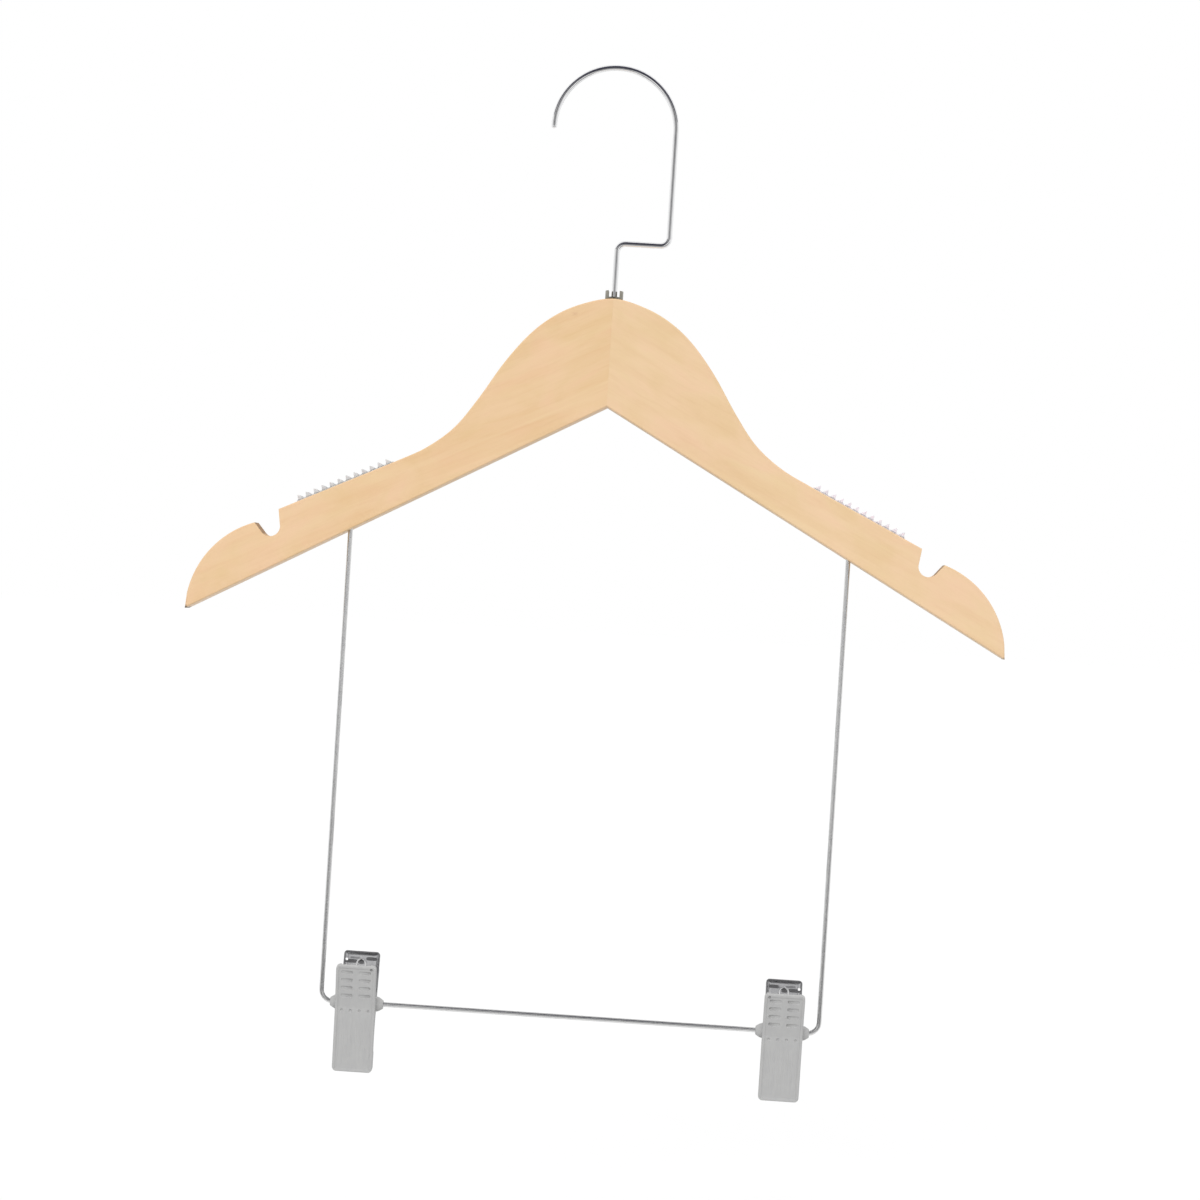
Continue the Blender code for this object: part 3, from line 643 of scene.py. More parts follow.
def makeInsert():
    size = insertSizes
    barbRun = size["length"] / (size["barbs"] + 1)
    foot = [(size["bore"], -size["length"]), (size["shank"] - size["barb"], -size["length"])]
    for i in range(size["barbs"]):
        height = -size["length"] + (i + 1) * barbRun
        foot += [(size["shank"], height), (size["shank"] - size["barb"], height + size["barbLand"])]
    rim = [
        (size["shank"] - size["barb"], size["headLift"]),
        (size["head"], size["headLift"]),
        (size["head"], size["headHeight"]),
        (size["head"] - size["wall"], size["headHeight"]),
        (size["head"] - size["wall"], size["floor"]),
        (size["bore"], size["floor"]),
    ]
    profile = roundedProfile(foot + rim, size["turnedRound"], size["roundSteps"])
    cup = lathe("hookInsert", profile, size["sides"], Matrix.Translation(swivelAt))
    height = size["headHeight"]
    middle = swivelAt + Vector((0, 0, size["floor"] + size["slotLift"] + height / 2))
    work = bmesh.new()
    addBox(work, (size["slot"], 3 * size["head"], height), Matrix.Translation(middle))
    cutAway(cup, pieceFrom("insertSlotCutter", work))
    softenEdges(cup, size["softEdge"], limit=size["softAngle"])
    keepFlats(cup)
    bakeModifiers(cup)
    dress(cup, metals["insertNickel"], "nickel", "hanger", "hook_insert")
    low = size["washerTop"] - size["washerThickness"]
    corners = [
        (size["bore"], low),
        (size["washerRadius"], low),
        (size["washerRadius"], size["washerTop"]),
        (size["bore"], size["washerTop"]),
    ]
    profile = roundedProfile(corners, size["washerRound"], size["roundSteps"])
    washer = lathe("thrustWasher", profile, size["washerSides"], Matrix.Translation(swivelAt))
    dress(washer, metals["insertNickel"], "nickel", "hook", "swivel_washer")


# wooden body
bodySizes = {
    "halfSpan": 175.0 * mm,
    "thickness": 12.0 * mm,
    "edgeRound": 0.75 * mm,
    "edgeSteps": 6,
    "neckDepth": 46.1 * mm,
    "neckReach": 89.0 * mm,
    "neckDrop": 75.0 * mm,
    "neckShares": (
        (0.0, 0.0), (0.135, 0.034), (0.263, 0.105), (0.382, 0.219), (0.5, 0.392),
        (0.62, 0.617), (0.725, 0.785), (0.854, 0.909), (1.0, 1.0),
    ),
    "neckSteps": 18,
    "shoulderAngle": 25.6,
    "undersideAngle": 28.95,
    "tipRadius": 40.5 * mm,
    "notchRadius": 4.4 * mm,
    "notchFromTip": 34.4 * mm,
    "notchSink": 5.9 * mm,
    "notchUndercut": 1.1 * mm,
    "notchWall": 50.0,
    "notchBreak": 0.2 * mm,
    "breakSteps": 2,
    "notchZone": 11.44 * mm,
    "alignGap": 0.02 * mm,
    "faceOrder": (1.0, 0.37, 0.61),
    "lipRound": 0.9 * mm,
    "lipSteps": 4,
    "seam": 0.004 * mm,
    "legAcross": 106.7 * mm,
    "legHole": 1.15 * mm,
    "legDepth": 13.0 * mm,
    "legSides": 32,
    "insertDepth": 18.0 * mm,
    "insertSides": 48,
    "pocketGap": 0.05 * mm,
    "cutSpare": 2.0 * mm,
    "legSpare": 3.0 * mm,
    "tipSteps": 40,
    "tipEndAngle": 9.0,
    "notchSteps": 30,
    "sharpAngle": 40.0,
}


def smoothCurve(knots, steps):
    first = (-knots[1][0], knots[1][1])
    last = tuple(2 * Vector(knots[-1]) - Vector(knots[-2]))
    knots = [first, *knots, last]
    points = []
    for i in range(1, len(knots) - 2):
        a, b, c, d = (Vector(knot) for knot in knots[i - 1 : i + 3])
        for step in range(steps):
            t = step / steps
            bend = (2 * a - 5 * b + 4 * c - d) * t**2 + (3 * b - a - 3 * c + d) * t**3
            points.append(tuple((2 * b + (c - a) * t + bend) / 2))
    return [*points, knots[-2]]


def shoulderZ(x):
    slope = math.tan(math.radians(bodySizes["shoulderAngle"]))
    return -bodySizes["neckDrop"] - (x - bodySizes["neckReach"]) * slope


def undersideZ(x):
    return -bodySizes["neckDepth"] - x * math.tan(math.radians(bodySizes["undersideAngle"]))


def notchCornerX():
    size = bodySizes
    return size["halfSpan"] - size["notchFromTip"] - size["notchRadius"] + size["notchUndercut"]


def armOutline():
    # straight over the notch, which is cut out later with square edges
    size = bodySizes
    knots = [(u * size["neckReach"], -v * size["neckDrop"]) for u, v in size["neckShares"]]
    line = smoothCurve(knots, size["neckSteps"])
    notchX = size["halfSpan"] - size["notchFromTip"]
    line.append((notchX, shoulderZ(notchX)))
    center = (size["halfSpan"] - size["tipRadius"], undersideZ(size["halfSpan"]))
    tipStart = notchX + size["notchRadius"] / 2
    startAngle = math.degrees(math.acos((tipStart - center[0]) / size["tipRadius"]))
    line += arcPoints(center, size["tipRadius"], startAngle, size["tipEndAngle"], size["tipSteps"])
    line.append((size["halfSpan"], undersideZ(size["halfSpan"])))
    return [*line, (0, undersideZ(0))]


def notchOutline():
    size = bodySizes
    notchX = size["halfSpan"] - size["notchFromTip"]
    center = (notchX, shoulderZ(notchX) - size["notchSink"])
    line = arcPoints(center, size["notchRadius"], 180, 270 + size["notchWall"], size["notchSteps"])
    corner = Vector((notchCornerX(), shoulderZ(notchCornerX())))
    undercut = (corner - Vector(line[0])).normalized()
    wall = math.radians(size["notchWall"])
    spare = size["cutSpare"]
    outerWall = Vector((math.cos(wall), math.sin(wall))) * (size["notchSink"] + spare)
    return [corner + undercut * spare, *line, Vector(line[-1]) + outerWall]


def armRing(side, inset):
    line = armOutline()
    before, after = line[1], line[-2]
    line = [(-before[0], before[1]), *line, (-after[0], after[1])]
    line = offsetLine(line, inset)[1:-1]
    seam = bodySizes["seam"]
    line[0] = (seam, line[0][1])
    line[-1] = (seam, line[-1][1])
    return [(swivelAt.x + side * x, swivelAt.z + z) for x, z in line]


def shoulderFrame(side, x):
    slope = math.radians(bodySizes["shoulderAngle"])
    place = Matrix.Translation(swivelAt + Vector((side * x, 0, shoulderZ(x))))
    return place @ Matrix.Rotation(side * slope, 4, "Y")


def easeNotch(arm, side):
    # the cut's lips are rounded, and its other edges get a sanded break
    size = bodySizes
    sharp = math.radians(size["sharpAngle"])
    notchX = size["halfSpan"] - size["notchFromTip"]
    middle = Vector((swivelAt.x + side * notchX, swivelAt.z + shoulderZ(notchX) - size["notchSink"] / 2))
    work = bmesh.new()
    work.from_mesh(arm.data)
    lips, breaks = (size["lipRound"], size["lipSteps"]), (size["notchBreak"], size["breakSteps"])
    for across, (width, steps) in ((True, lips), (False, breaks)):
        edges = []
        for edge in work.edges:
            ends = [Vector((vert.co.x, vert.co.z)) for vert in edge.verts]
            if max((end - middle).length for end in ends) > size["notchZone"]:
                continue
            alongY = (ends[0] - ends[1]).length < size["alignGap"]
            if alongY == across and edge.is_manifold and edge.calc_face_angle() > sharp:
                edges.append(edge)
        settings = {"offset": width, "segments": steps, "profile": 0.5, "clamp_overlap": True}
        bmesh.ops.bevel(work, geom=edges, affect="EDGES", **settings)
    # the bevel lists its faces in another order at each run, so they are sorted by place
    order = Vector(size["faceOrder"])
    work.faces.sort(key=lambda face: face.calc_center_median().dot(order))
    work.to_mesh(arm.data)
    work.free()


def markEndGrain(arm, turn):
    # how squarely the skin cuts the grain, 0 along it and 1 across it
    grain = np.array((math.cos(math.radians(turn)), 0, math.sin(math.radians(turn))))
    mesh = arm.data
    normals = np.empty(len(mesh.loops) * 3, dtype=np.float32)
    mesh.corner_normals.foreach_get("vector", normals)
    marks = mesh.attributes.new("endGrain", "FLOAT", "CORNER")
    marks.data.foreach_set("value", np.abs(normals.reshape(-1, 3) @ grain).astype(np.float32))


def makeArm(sideName, side):
    size = bodySizes
    flat = size["thickness"] / 2 - size["edgeRound"]
    levels = []
    for i in range(size["edgeSteps"] + 1):
        angle = flatTurn * i / size["edgeSteps"]
        levels.append((flat + size["edgeRound"] * math.sin(angle), size["edgeRound"] * (1 - math.cos(angle))))
    levels = [(-y, inset) for y, inset in reversed(levels)] + levels
    work = bmesh.new()
    rings = [[work.verts.new((x, y, z)) for x, z in armRing(side, inset)] for y, inset in levels]
    joinRings(work, rings)
    arm = pieceFrom(sideName + "Arm", work, size["sharpAngle"])
    # grip pocket, leg hole, insert bore and notch
    work = bmesh.new()
    spare, gap = size["cutSpare"], size["pocketGap"]
    grip = gripSizes
    length = grip["teeth"] * grip["pitch"]
    depth = grip["base"] + spare
    middle = Matrix.Translation((-side * length / 2, 0, spare - depth / 2))
    pocket = (length + 2 * gap, grip["width"] + 2 * gap, depth)
    addBox(work, pocket, shoulderFrame(side, notchCornerX() - grip["fromNotch"]) @ middle)
    legLow = swivelAt.z + undersideZ(size["legAcross"]) - size["legSpare"]
    deep = size["legDepth"] + size["legSpare"]
    middle = (swivelAt.x + side * size["legAcross"], 0, legLow + deep / 2)
    addRod(work, size["legHole"], deep, size["legSides"], Matrix.Translation(middle))
    deep = size["insertDepth"] + spare
    middle = swivelAt + Vector((0, 0, spare - deep / 2))
    addRod(work, insertSizes["shank"] + gap, deep, size["insertSides"], Matrix.Translation(middle))
    through = size["thickness"]
    outline = [(swivelAt.x + side * x, swivelAt.z + z) for x, z in notchOutline()]
    joinRings(work, [[work.verts.new((x, y, z)) for x, z in outline] for y in (-through, through)])
    cutAway(arm, pieceFrom(sideName + "ArmCutter", work))
    easeNotch(arm, side)
    arm.data.shade_smooth()
    arm.data.set_sharp_from_angle(angle=math.radians(size["sharpAngle"]))
    keepFlats(arm)
    bakeModifiers(arm)
    markEndGrain(arm, -side * size["shoulderAngle"])
    dress(arm, makeWood(sideName, side), "pale_wood", "hanger", sideName + "_arm")


def dressDowels():
    for name in ("neck_dowel_upper", "neck_dowel_lower"):
        node = frame["nodes"][name]
        node.data.materials.clear()
        node.data.materials.append(dowelWood)


# shoulder grips: the ribs come from Geometry Nodes
gripSizes = {
    "teeth": 12,
    "pitch": 3.7 * mm,
    "toothHeight": 1.9 * mm,
    "toothBase": 3.0 * mm,
    "tipShare": 0.14,
    "sinkShare": 0.2,
    "taperBend": 0.85,
    "lean": 0.55 * mm,
    "leanBend": 1.3,
    "base": 1.2 * mm,
    "rise": 0.6 * mm,
    "width": 9.6 * mm,
    "fromNotch": 7.6 * mm,
    "edge": 0.22 * mm,
    "edgeAngle": 40.0,
    "sharpAngle": 50.0,
}


def addTreeInput(tree, name, kind):
    return tree.interface.new_socket(name=name, in_out="INPUT", socket_type=kind).identifier


def startTree(name, lengths, counter):
    # a tree with its lengths, a count and a material as named inputs
    tree = bpy.data.node_groups.new(name, "GeometryNodeTree")
    keys = {length: addTreeInput(tree, length, "NodeSocketFloat") for length in lengths}
    keys[counter] = addTreeInput(tree, counter, "NodeSocketInt")
    keys["Material"] = addTreeInput(tree, "Material", "NodeSocketMaterial")
    tree.interface.new_socket(name="Geometry", in_out="OUTPUT", socket_type="NodeSocketGeometry")
    kit = NodeKit(tree)
    return tree, keys, kit, kit.add("NodeGroupInput").outputs


def endTree(kit, geometry, material):
    real = kit.add("GeometryNodeRealizeInstances", {"Geometry": geometry})
    coated = kit.add("GeometryNodeSetMaterial", {"Geometry": real.outputs[0], "Material": material})
    kit.add("NodeGroupOutput", {"Geometry": coated.outputs[0]})


def makeGripTree():
    # blocks drawn in towards their tips and bent sideways, in a row on a slab that they sink into
    size = gripSizes
    lengths = ("Pitch", "Tooth Base", "Tooth Height", "Tip Share", "Lean", "Width", "Base Depth", "Base Rise")
    tree, keys, kit, given = startTree("ribbedGrip", lengths, "Teeth")
    sink = kit.math("MULTIPLY", given["Tooth Height"], size["sinkShare"])
    height = kit.math("ADD", given["Tooth Height"], sink)
    toothSize = kit.add("ShaderNodeCombineXYZ", {"X": given["Tooth Base"], "Y": given["Width"], "Z": height})
    sides = {"Vertices X": 2, "Vertices Y": 2, "Vertices Z": 7}
    tooth = kit.add("GeometryNodeMeshCube", {"Size": toothSize.outputs[0], **sides}).outputs["Mesh"]
    place = kit.add("GeometryNodeInputPosition").outputs[0]
    parts = kit.add("ShaderNodeSeparateXYZ", {"Vector": place})
    rise = kit.math("ADD", kit.math("DIVIDE", parts.outputs["Z"], height), 0.5)
    bend = kit.math("POWER", rise, size["taperBend"])
    taper = kit.math("MULTIPLY", kit.math("SUBTRACT", 1.0, given["Tip Share"]), bend)
    narrowed = kit.math("MULTIPLY", parts.outputs["X"], kit.math("SUBTRACT", 1.0, taper))
    bend = kit.math("POWER", rise, size["leanBend"])
    leaning = kit.math("ADD", narrowed, kit.math("MULTIPLY", given["Lean"], bend))
    lift = kit.math("SUBTRACT", kit.math("ADD", kit.math("MULTIPLY", height, 0.5), given["Base Rise"]), sink)
    lifted = kit.math("ADD", parts.outputs["Z"], lift)
    moved = kit.add("ShaderNodeCombineXYZ", {"X": leaning, "Y": parts.outputs["Y"], "Z": lifted})
    bent = kit.add("GeometryNodeSetPosition", {"Geometry": tooth, "Position": moved.outputs[0]})
    step = kit.add("ShaderNodeCombineXYZ", {"X": given["Pitch"]})
    row = kit.add("GeometryNodeMeshLine", {"Count": given["Teeth"], "Offset": step.outputs[0]})
    many = kit.add("GeometryNodeInstanceOnPoints", {"Points": row.outputs[0], "Instance": bent.outputs[0]})
    length = kit.math("MULTIPLY", given["Pitch"], given["Teeth"])
    thick = kit.math("ADD", given["Base Depth"], given["Base Rise"])
    slabSize = kit.add("ShaderNodeCombineXYZ", {"X": length, "Y": given["Width"], "Z": thick})
    slab = kit.add("GeometryNodeMeshCube", {"Size": slabSize.outputs[0]})
    halfway = kit.math("MULTIPLY", kit.math("SUBTRACT", length, given["Pitch"]), 0.5)
    drop = kit.math("SUBTRACT", kit.math("MULTIPLY", thick, 0.5), given["Base Depth"])
    slabPlace = kit.add("ShaderNodeCombineXYZ", {"X": halfway, "Z": drop}).outputs[0]
    laid = kit.add("GeometryNodeTransform", {"Geometry": slab.outputs["Mesh"], "Translation": slabPlace})
    joined = kit.add("GeometryNodeJoinGeometry")
    tree.links.new(many.outputs[0], joined.inputs[0])
    tree.links.new(laid.outputs[0], joined.inputs[0])
    endTree(kit, joined.outputs[0], given["Material"])
    return tree, keys


def fromTree(name, tree, keys, values):
    # an empty mesh carries the modifier, and its result becomes the piece's own mesh
    carrier = bpy.data.objects.new(name, bpy.data.meshes.new(name))
    bpy.context.scene.collection.objects.link(carrier)
    modifier = carrier.modifiers.new(name, "NODES")
    modifier.node_group = tree
    for key, value in values.items():
        modifier[keys[key]] = value
    return bakeModifiers(carrier)


def makeGrips():
    tree, keys = makeGripTree()
    size = gripSizes
    for sideName, side in (("left", -1), ("right", 1)):
        values = {
            "Teeth": size["teeth"],
            "Pitch": size["pitch"],
            "Tooth Base": size["toothBase"],
            "Tooth Height": size["toothHeight"],
            "Tip Share": size["tipShare"],
            "Lean": side * size["lean"],
            "Width": size["width"],
            "Base Depth": size["base"],
            "Base Rise": size["rise"],
            "Material": silicones[sideName],
        }
        grip = fromTree(sideName + "Grip", tree, keys, values)
        start = size["pitch"] / 2 - (side > 0) * size["teeth"] * size["pitch"]
        place = shoulderFrame(side, notchCornerX() - size["fromNotch"])
        grip.data.transform(place @ Matrix.Translation((start, 0, 0)))
        softenEdges(grip, size["edge"], limit=size["edgeAngle"])
        bakeModifiers(grip)
        grip.data.shade_smooth()
        grip.data.set_sharp_from_angle(angle=math.radians(size["sharpAngle"]))
        dress(grip, silicones[sideName], "silicone", "hanger", sideName + "_shoulder_grip")


# drop frame
dropSizes = {
    "wire": 2.0 * mm,
    "halfWidth": 106.7 * mm,
    "drop": 307.3 * mm,
    "corner": 5.0 * mm,
    "legDepth": 12.0 * mm,
    "legSteps": 12,
    "bendSteps": 14,
    "sides": 24,
}


def makeDropFrame():
    size = dropSizes
    top = undersideZ(size["halfWidth"]) + size["legDepth"]
    half = size["halfWidth"]
    corners = [(-half, top), (-half, -size["drop"]), (half, -size["drop"]), (half, top)]
    path = [corners[0]]
    legSteps = size["legSteps"]
    for i in range(1, legSteps):
        path.append((-half, top + (size["corner"] - size["drop"] - top) * i / legSteps))
    for i in (1, 2):
        path += roundCorner(*corners[i - 1 : i + 2], size["corner"], size["bendSteps"])
    path += [(-x, z) for x, z in reversed(path[:legSteps])]
    points = [(swivelAt.x + x, 0, swivelAt.z + z) for x, z in path]
    wire = sweepTube("dropFrame", points, [size["wire"] / 2] * len(points), size["sides"])
    dress(wire, metals["frameZinc"], "zinc_wire", "hanger", "drop_frame")


# clips, drawn for the front half: (distance out from the middle plane, height)
clipSizes = {
    "halfWidth": 8.6 * mm,
    "rearHalfWidth": 7.8 * mm,
    "steel": 0.7 * mm,
    "gap": 0.3 * mm,
    "tipDrop": 27.5 * mm,
    "bendDrop": 1.0 * mm,
    "standoff": 4.0 * mm,
    "bendRadius": 6.0 * mm,
    "bendSteps": 10,
    "gripAngle": 14.0,
    "padThickness": 1.2 * mm,
}
coverSizes = {
    "wall": 1.2 * mm,
    "sideWall": 0.5 * mm,
    "flankShare": 0.7,
    "insideShare": 1.1,
    "reach": 17.6 * mm,
    "rearReach": 15.6 * mm,
    "drop": 29.0 * mm,
    "topCorner": 1.9 * mm,
    "footCorner": 1.9 * mm,
    "edgeRound": 0.45 * mm,
    "beadWidth": 1.2 * mm,
    "beadRise": 0.32 * mm,
    "beadSlope": 0.22 * mm,
    "slotRows": 4,
    "slotFromTop": 3.1 * mm,
    "slotPitch": 3.4 * mm,
    "slotSpacing": 7.7 * mm,
    "slotLength": 5.1 * mm,
    "slotHeight": 1.5 * mm,
    "slotDepth": 0.8 * mm,
    "slotShallow": 0.4,
    "slotWall": 0.24 * mm,
    "dimpleCount": 4,
    "dimpleDrop": 2.5 * mm,
    "dimpleSpacing": 3.8 * mm,
    "dimpleRadius": 0.72 * mm,
    "dimpleDepth": 0.5 * mm,
    "dimpleSlope": 1.6,
    "dimpleBand": 0.9 * mm,
    "dimpleStep": 0.15 * mm,
    "lipDrop": 28.0 * mm,
    "lipDepth": 0.16 * mm,
    "lipWidth": 0.25 * mm,
    "lipInset": 0.6 * mm,
    "eyeletAcross": 6.5 * mm,
    "eyeletHeight": 16.0 * mm,
    "eyeletRadius": 0.6 * mm,
    "eyeletDepth": 1.0 * mm,
    "eyeletSides": 24,
    "drillLength": 9.0 * mm,
    "sharpAngle": 48.0,
    "footBand": 1.8 * mm,
    "fineStep": 0.14 * mm,
    "plainStep": 0.7 * mm,
    "middleStep": 0.4 * mm,
    "columns": 110,
}
padSizes = {
    "height": 8.3 * mm,
    "slope": 1.2 * mm,
    "foot": 0.2 * mm,
    "rounding": 4.5 * mm,
    "grooves": 5,
    "groovePitch": 1.4 * mm,
    "grooveHalf": 0.35 * mm,
    "grooveDepth": 0.22 * mm,
    "wallShare": 0.5,
    "inset": 0.05 * mm,
    "sink": 0.1 * mm,
    "softEdge": 0.12 * mm,
    "softAngle": 30.0,
    "cornerShares": (0.0, 0.05, 0.2, 0.42, 0.7, 1.0),
}


def plateLine(low, high):
    size = clipSizes
    tip = Vector((1.5 * size["gap"] + size["padThickness"], -size["tipDrop"]))
    bend = Vector((size["standoff"], -size["bendDrop"]))
    slope = math.tan(math.radians(size["gripAngle"]))
    top = bend + Vector((slope, 1)) * (high - bend.y)
    foot = tip + (bend - tip) * (low - tip.y) / (bend.y - tip.y)
    if high <= bend.y:
        highPoint = tip + (bend - tip) * (high - tip.y) / (bend.y - tip.y)
        return [tuple(foot), tuple(highPoint)]
    rounded = roundCorner(foot, bend, top, size["bendRadius"], size["bendSteps"])
    return [tuple(foot), *rounded, tuple(top)]


def smoothStep(value):
    value = min(max(value, 0.0), 1.0)
    return value * value * (3 - 2 * value)


def coverHalfAt(height, half, reach):
    # half width at a height, drawn in round the four corners
    size = coverSizes
    for edge, radius in ((reach - height, size["topCorner"]), (height + size["drop"], size["footCorner"])):
        if edge < radius:
            short = radius - max(edge, 0.0)
            half -= radius - math.sqrt(max(radius * radius - short * short, 0.0))
    return half


def coverRecess(across, height, half, reach, deepSide):
    # how far the cover's outer skin lies below the CAD face
    size = coverSizes
    edge = min(coverHalfAt(height, half, reach) - abs(across), reach - height, height + size["drop"])
    edge = max(edge, 0.0)
    depth = 0.0
    if edge < size["edgeRound"]:
        short = size["edgeRound"] - edge
        depth += size["edgeRound"] - math.sqrt(size["edgeRound"] ** 2 - short**2)
    depth += size["beadRise"] * smoothStep((edge - size["beadWidth"]) / size["beadSlope"] + 0.5)
    for row in range(size["slotRows"]):
        rowHeight = reach - size["slotFromTop"] - row * size["slotPitch"]
        if abs(height - rowHeight) > size["slotHeight"]:
            continue
        for column in (-1, 1):
            fromMiddle = abs(across - column * size["slotSpacing"] / 2)
            overEnd = max(fromMiddle - (size["slotLength"] - size["slotHeight"]) / 2, 0.0)
            inside = size["slotHeight"] / 2 - math.hypot(overEnd, height - rowHeight)
            if inside > 0:
                along = deepSide * (across - column * size["slotSpacing"] / 2) / size["slotLength"]
                shallow = size["slotShallow"]
                deeper = shallow + (1 - shallow) * smoothStep(0.5 + along)
                depth += size["slotDepth"] * deeper * smoothStep(inside / size["slotWall"])
    if abs(height + size["dimpleDrop"]) < size["dimpleRadius"]:
        for i in range(size["dimpleCount"]):
            middle = (i - (size["dimpleCount"] - 1) / 2) * size["dimpleSpacing"]
            away = math.hypot(across - middle, height + size["dimpleDrop"]) / size["dimpleRadius"]
            if away < 1:
                depth += size["dimpleDepth"] * smoothStep((1 - away) * size["dimpleSlope"])
    fromLip = abs(height + size["lipDrop"]) / size["lipWidth"]
    if fromLip < 1 and edge > size["lipInset"]:
        depth += size["lipDepth"] * (1 - fromLip * fromLip)
    return depth


def coverStations(reach):
    # heights of the rows, close where there is detail
    size = coverSizes
    slotsLow = reach - size["slotFromTop"] - (size["slotRows"] - 1) * size["slotPitch"] - size["slotHeight"]
    footHigh = -size["drop"] + size["footBand"]
    dimplesLow, dimplesHigh = (-size["dimpleDrop"] + end * size["dimpleBand"] for end in (-1, 1))
    spans = [
        (-size["drop"], footHigh, size["fineStep"]),
        (footHigh, dimplesLow, size["plainStep"]),
        (dimplesLow, dimplesHigh, size["dimpleStep"]),
        (dimplesHigh, slotsLow, size["middleStep"]),
        (slotsLow, reach, size["fineStep"]),
    ]
    heights = []
    for low, high, step in spans:
        count = max(1, round((high - low) / step))
        heights += [low + (high - low) * i / count for i in range(count)]
    return [*heights, reach]


def lineAt(line, height):
    # the point of a rising line at a height, and the outward normal there
    for low, high in zip(line, line[1:]):
        if height <= high[1] or high is line[-1]:
            share = (height - low[1]) / (high[1] - low[1])
            run = (Vector(high) - Vector(low)).normalized()
            return Vector(low).lerp(Vector(high), share), Vector((run.y, -run.x))
    return Vector(line[-1]), Vector((1, 0))


def clipPlace(sideName, turn):
    pivot = jointAt[sideName + "_clip_swing"]
    return Matrix.Translation(pivot) @ Matrix.Rotation(turn, 4, "Z")


def cutEyelet(piece, spot, length):
    size = coverSizes
    along = spot @ Matrix.Rotation(flatTurn, 4, "X")
    work = bmesh.new()
    addRod(work, size["eyeletRadius"], length, size["eyeletSides"], along)
    cutAway(piece, pieceFrom("eyeletCutter", work))


def makeCover(sideName, half, turn, eyeletSide, body, node):
    # the front cover has side walls and an eyelet, the rear one is a sheet as wide as its tray
    size = coverSizes
    front = half == "Front"
    halfWidth = clipSizes["halfWidth" if front else "rearHalfWidth"]
    reach = size["reach" if front else "rearReach"]
    place = clipPlace(sideName, turn)
    deep = clipSizes["steel"] + clipSizes["gap"] + size["wall"]
    inner = plateLine(-size["drop"], reach)
    work = bmesh.new()
    rings = []
    for height in coverStations(reach):
        middle, normal = lineAt(inner, height)
        outer = middle + normal * deep
        width = coverHalfAt(height, halfWidth, reach)
        section = []
        for i in range(size["columns"] + 1):
            across = -width + 2 * width * i / size["columns"]
            section.append((across, coverRecess(across, height, halfWidth, reach, eyeletSide)))
        wallIn = width - size["sideWall"]
        flank = [(width, size["wall"] * size["flankShare"]), (width, size["wall"])]
        if front:
            flank = [(width, deep * size["flankShare"]), (width, deep), (wallIn, deep)]
            flank.append((wallIn, size["wall"] * size["insideShare"]))
        section += [*flank, (0, size["wall"]), *[(-x, depth) for x, depth in reversed(flank)]]
        ring = []
        for across, depth in section:
            here = outer - normal * depth
            ring.append(work.verts.new(place @ Vector((across, -here.x, here.y))))
        rings.append(ring)
    joinRings(work, rings)
    cover = pieceFrom(sideName + half + "Cover", work, size["sharpAngle"])
    if front:
        middle, normal = lineAt(inner, size["eyeletHeight"])
        deepest = middle + normal * (deep - size["eyeletDepth"])
        length = size["drillLength"]
        across = eyeletSide * size["eyeletAcross"]
        cutEyelet(cover, place @ Matrix.Translation((across, -deepest.x - length / 2, deepest.y)), length)
    cover.data.shade_smooth()
    cover.data.set_sharp_from_angle(angle=math.radians(size["sharpAngle"]))
    dress(cover, plastics["coverGrey"], "grey_plastic", body, node)
    makePad(sideName, half, halfWidth, place, body, node)


def raisedFoot(point, across, width):
    # the pad's foot follows the cover's rounded corners
    size = coverSizes
    low, high = -size["drop"], -size["drop"] + padSizes["rounding"]
    short = size["footCorner"] - (width - abs(across))
    rise = 0.0
    if short > 0:
        rise = size["footCorner"] - math.sqrt(max(size["footCorner"] ** 2 - short**2, 0.0))
    if point[1] >= high:
        return point
    return point[0], high - (high - point[1]) * (high - low - rise) / (high - low)


def makePad(sideName, half, halfWidth, place, body, node):
    # the soft jaw pad below the plate's tip, its gripping face finely grooved
    size = padSizes
    gap = clipSizes["gap"]
    face = gap / 2
    low = -coverSizes["drop"] + size["foot"]
    padTop = -coverSizes["drop"] + size["height"]
    plateTip = -clipSizes["tipDrop"] - gap
    outline = [(face, low)]
    for i in reversed(range(size["grooves"])):
        middle = padTop - (i + 1) * size["groovePitch"]
        outline += [
            (face, middle - size["grooveHalf"]),
            (face + size["grooveDepth"], middle),
            (face, middle + size["grooveHalf"]),
        ]
    outline.append((face, padTop))
    inside = offsetLine(plateLine(plateTip, padTop + size["slope"]), -size["sink"])
    outline += [inside[-1], inside[0]]
    deep = clipSizes["steel"] + gap + coverSizes["wall"] * size["wallShare"]
    outer = offsetLine(plateLine(low, plateTip), deep)
    outline += [outer[1], outer[0]]
    width = halfWidth - size["inset"]
    stations = [-width + share * coverSizes["footCorner"] for share in size["cornerShares"]]
    stations += [-across for across in reversed(stations)]
    work = bmesh.new()
    rings = []
    for across in stations:
        line = [raisedFoot(point, across, width) for point in outline]
        rings.append([work.verts.new(place @ Vector((across, -u, v))) for u, v in line])
    joinRings(work, rings)
    pad = pieceFrom(sideName + half + "Pad", work)
    softenEdges(pad, size["softEdge"], limit=size["softAngle"])
    keepFlats(pad)
    bakeModifiers(pad)
    dress(pad, plastics["coverGrey"], "grey_plastic", body, node)
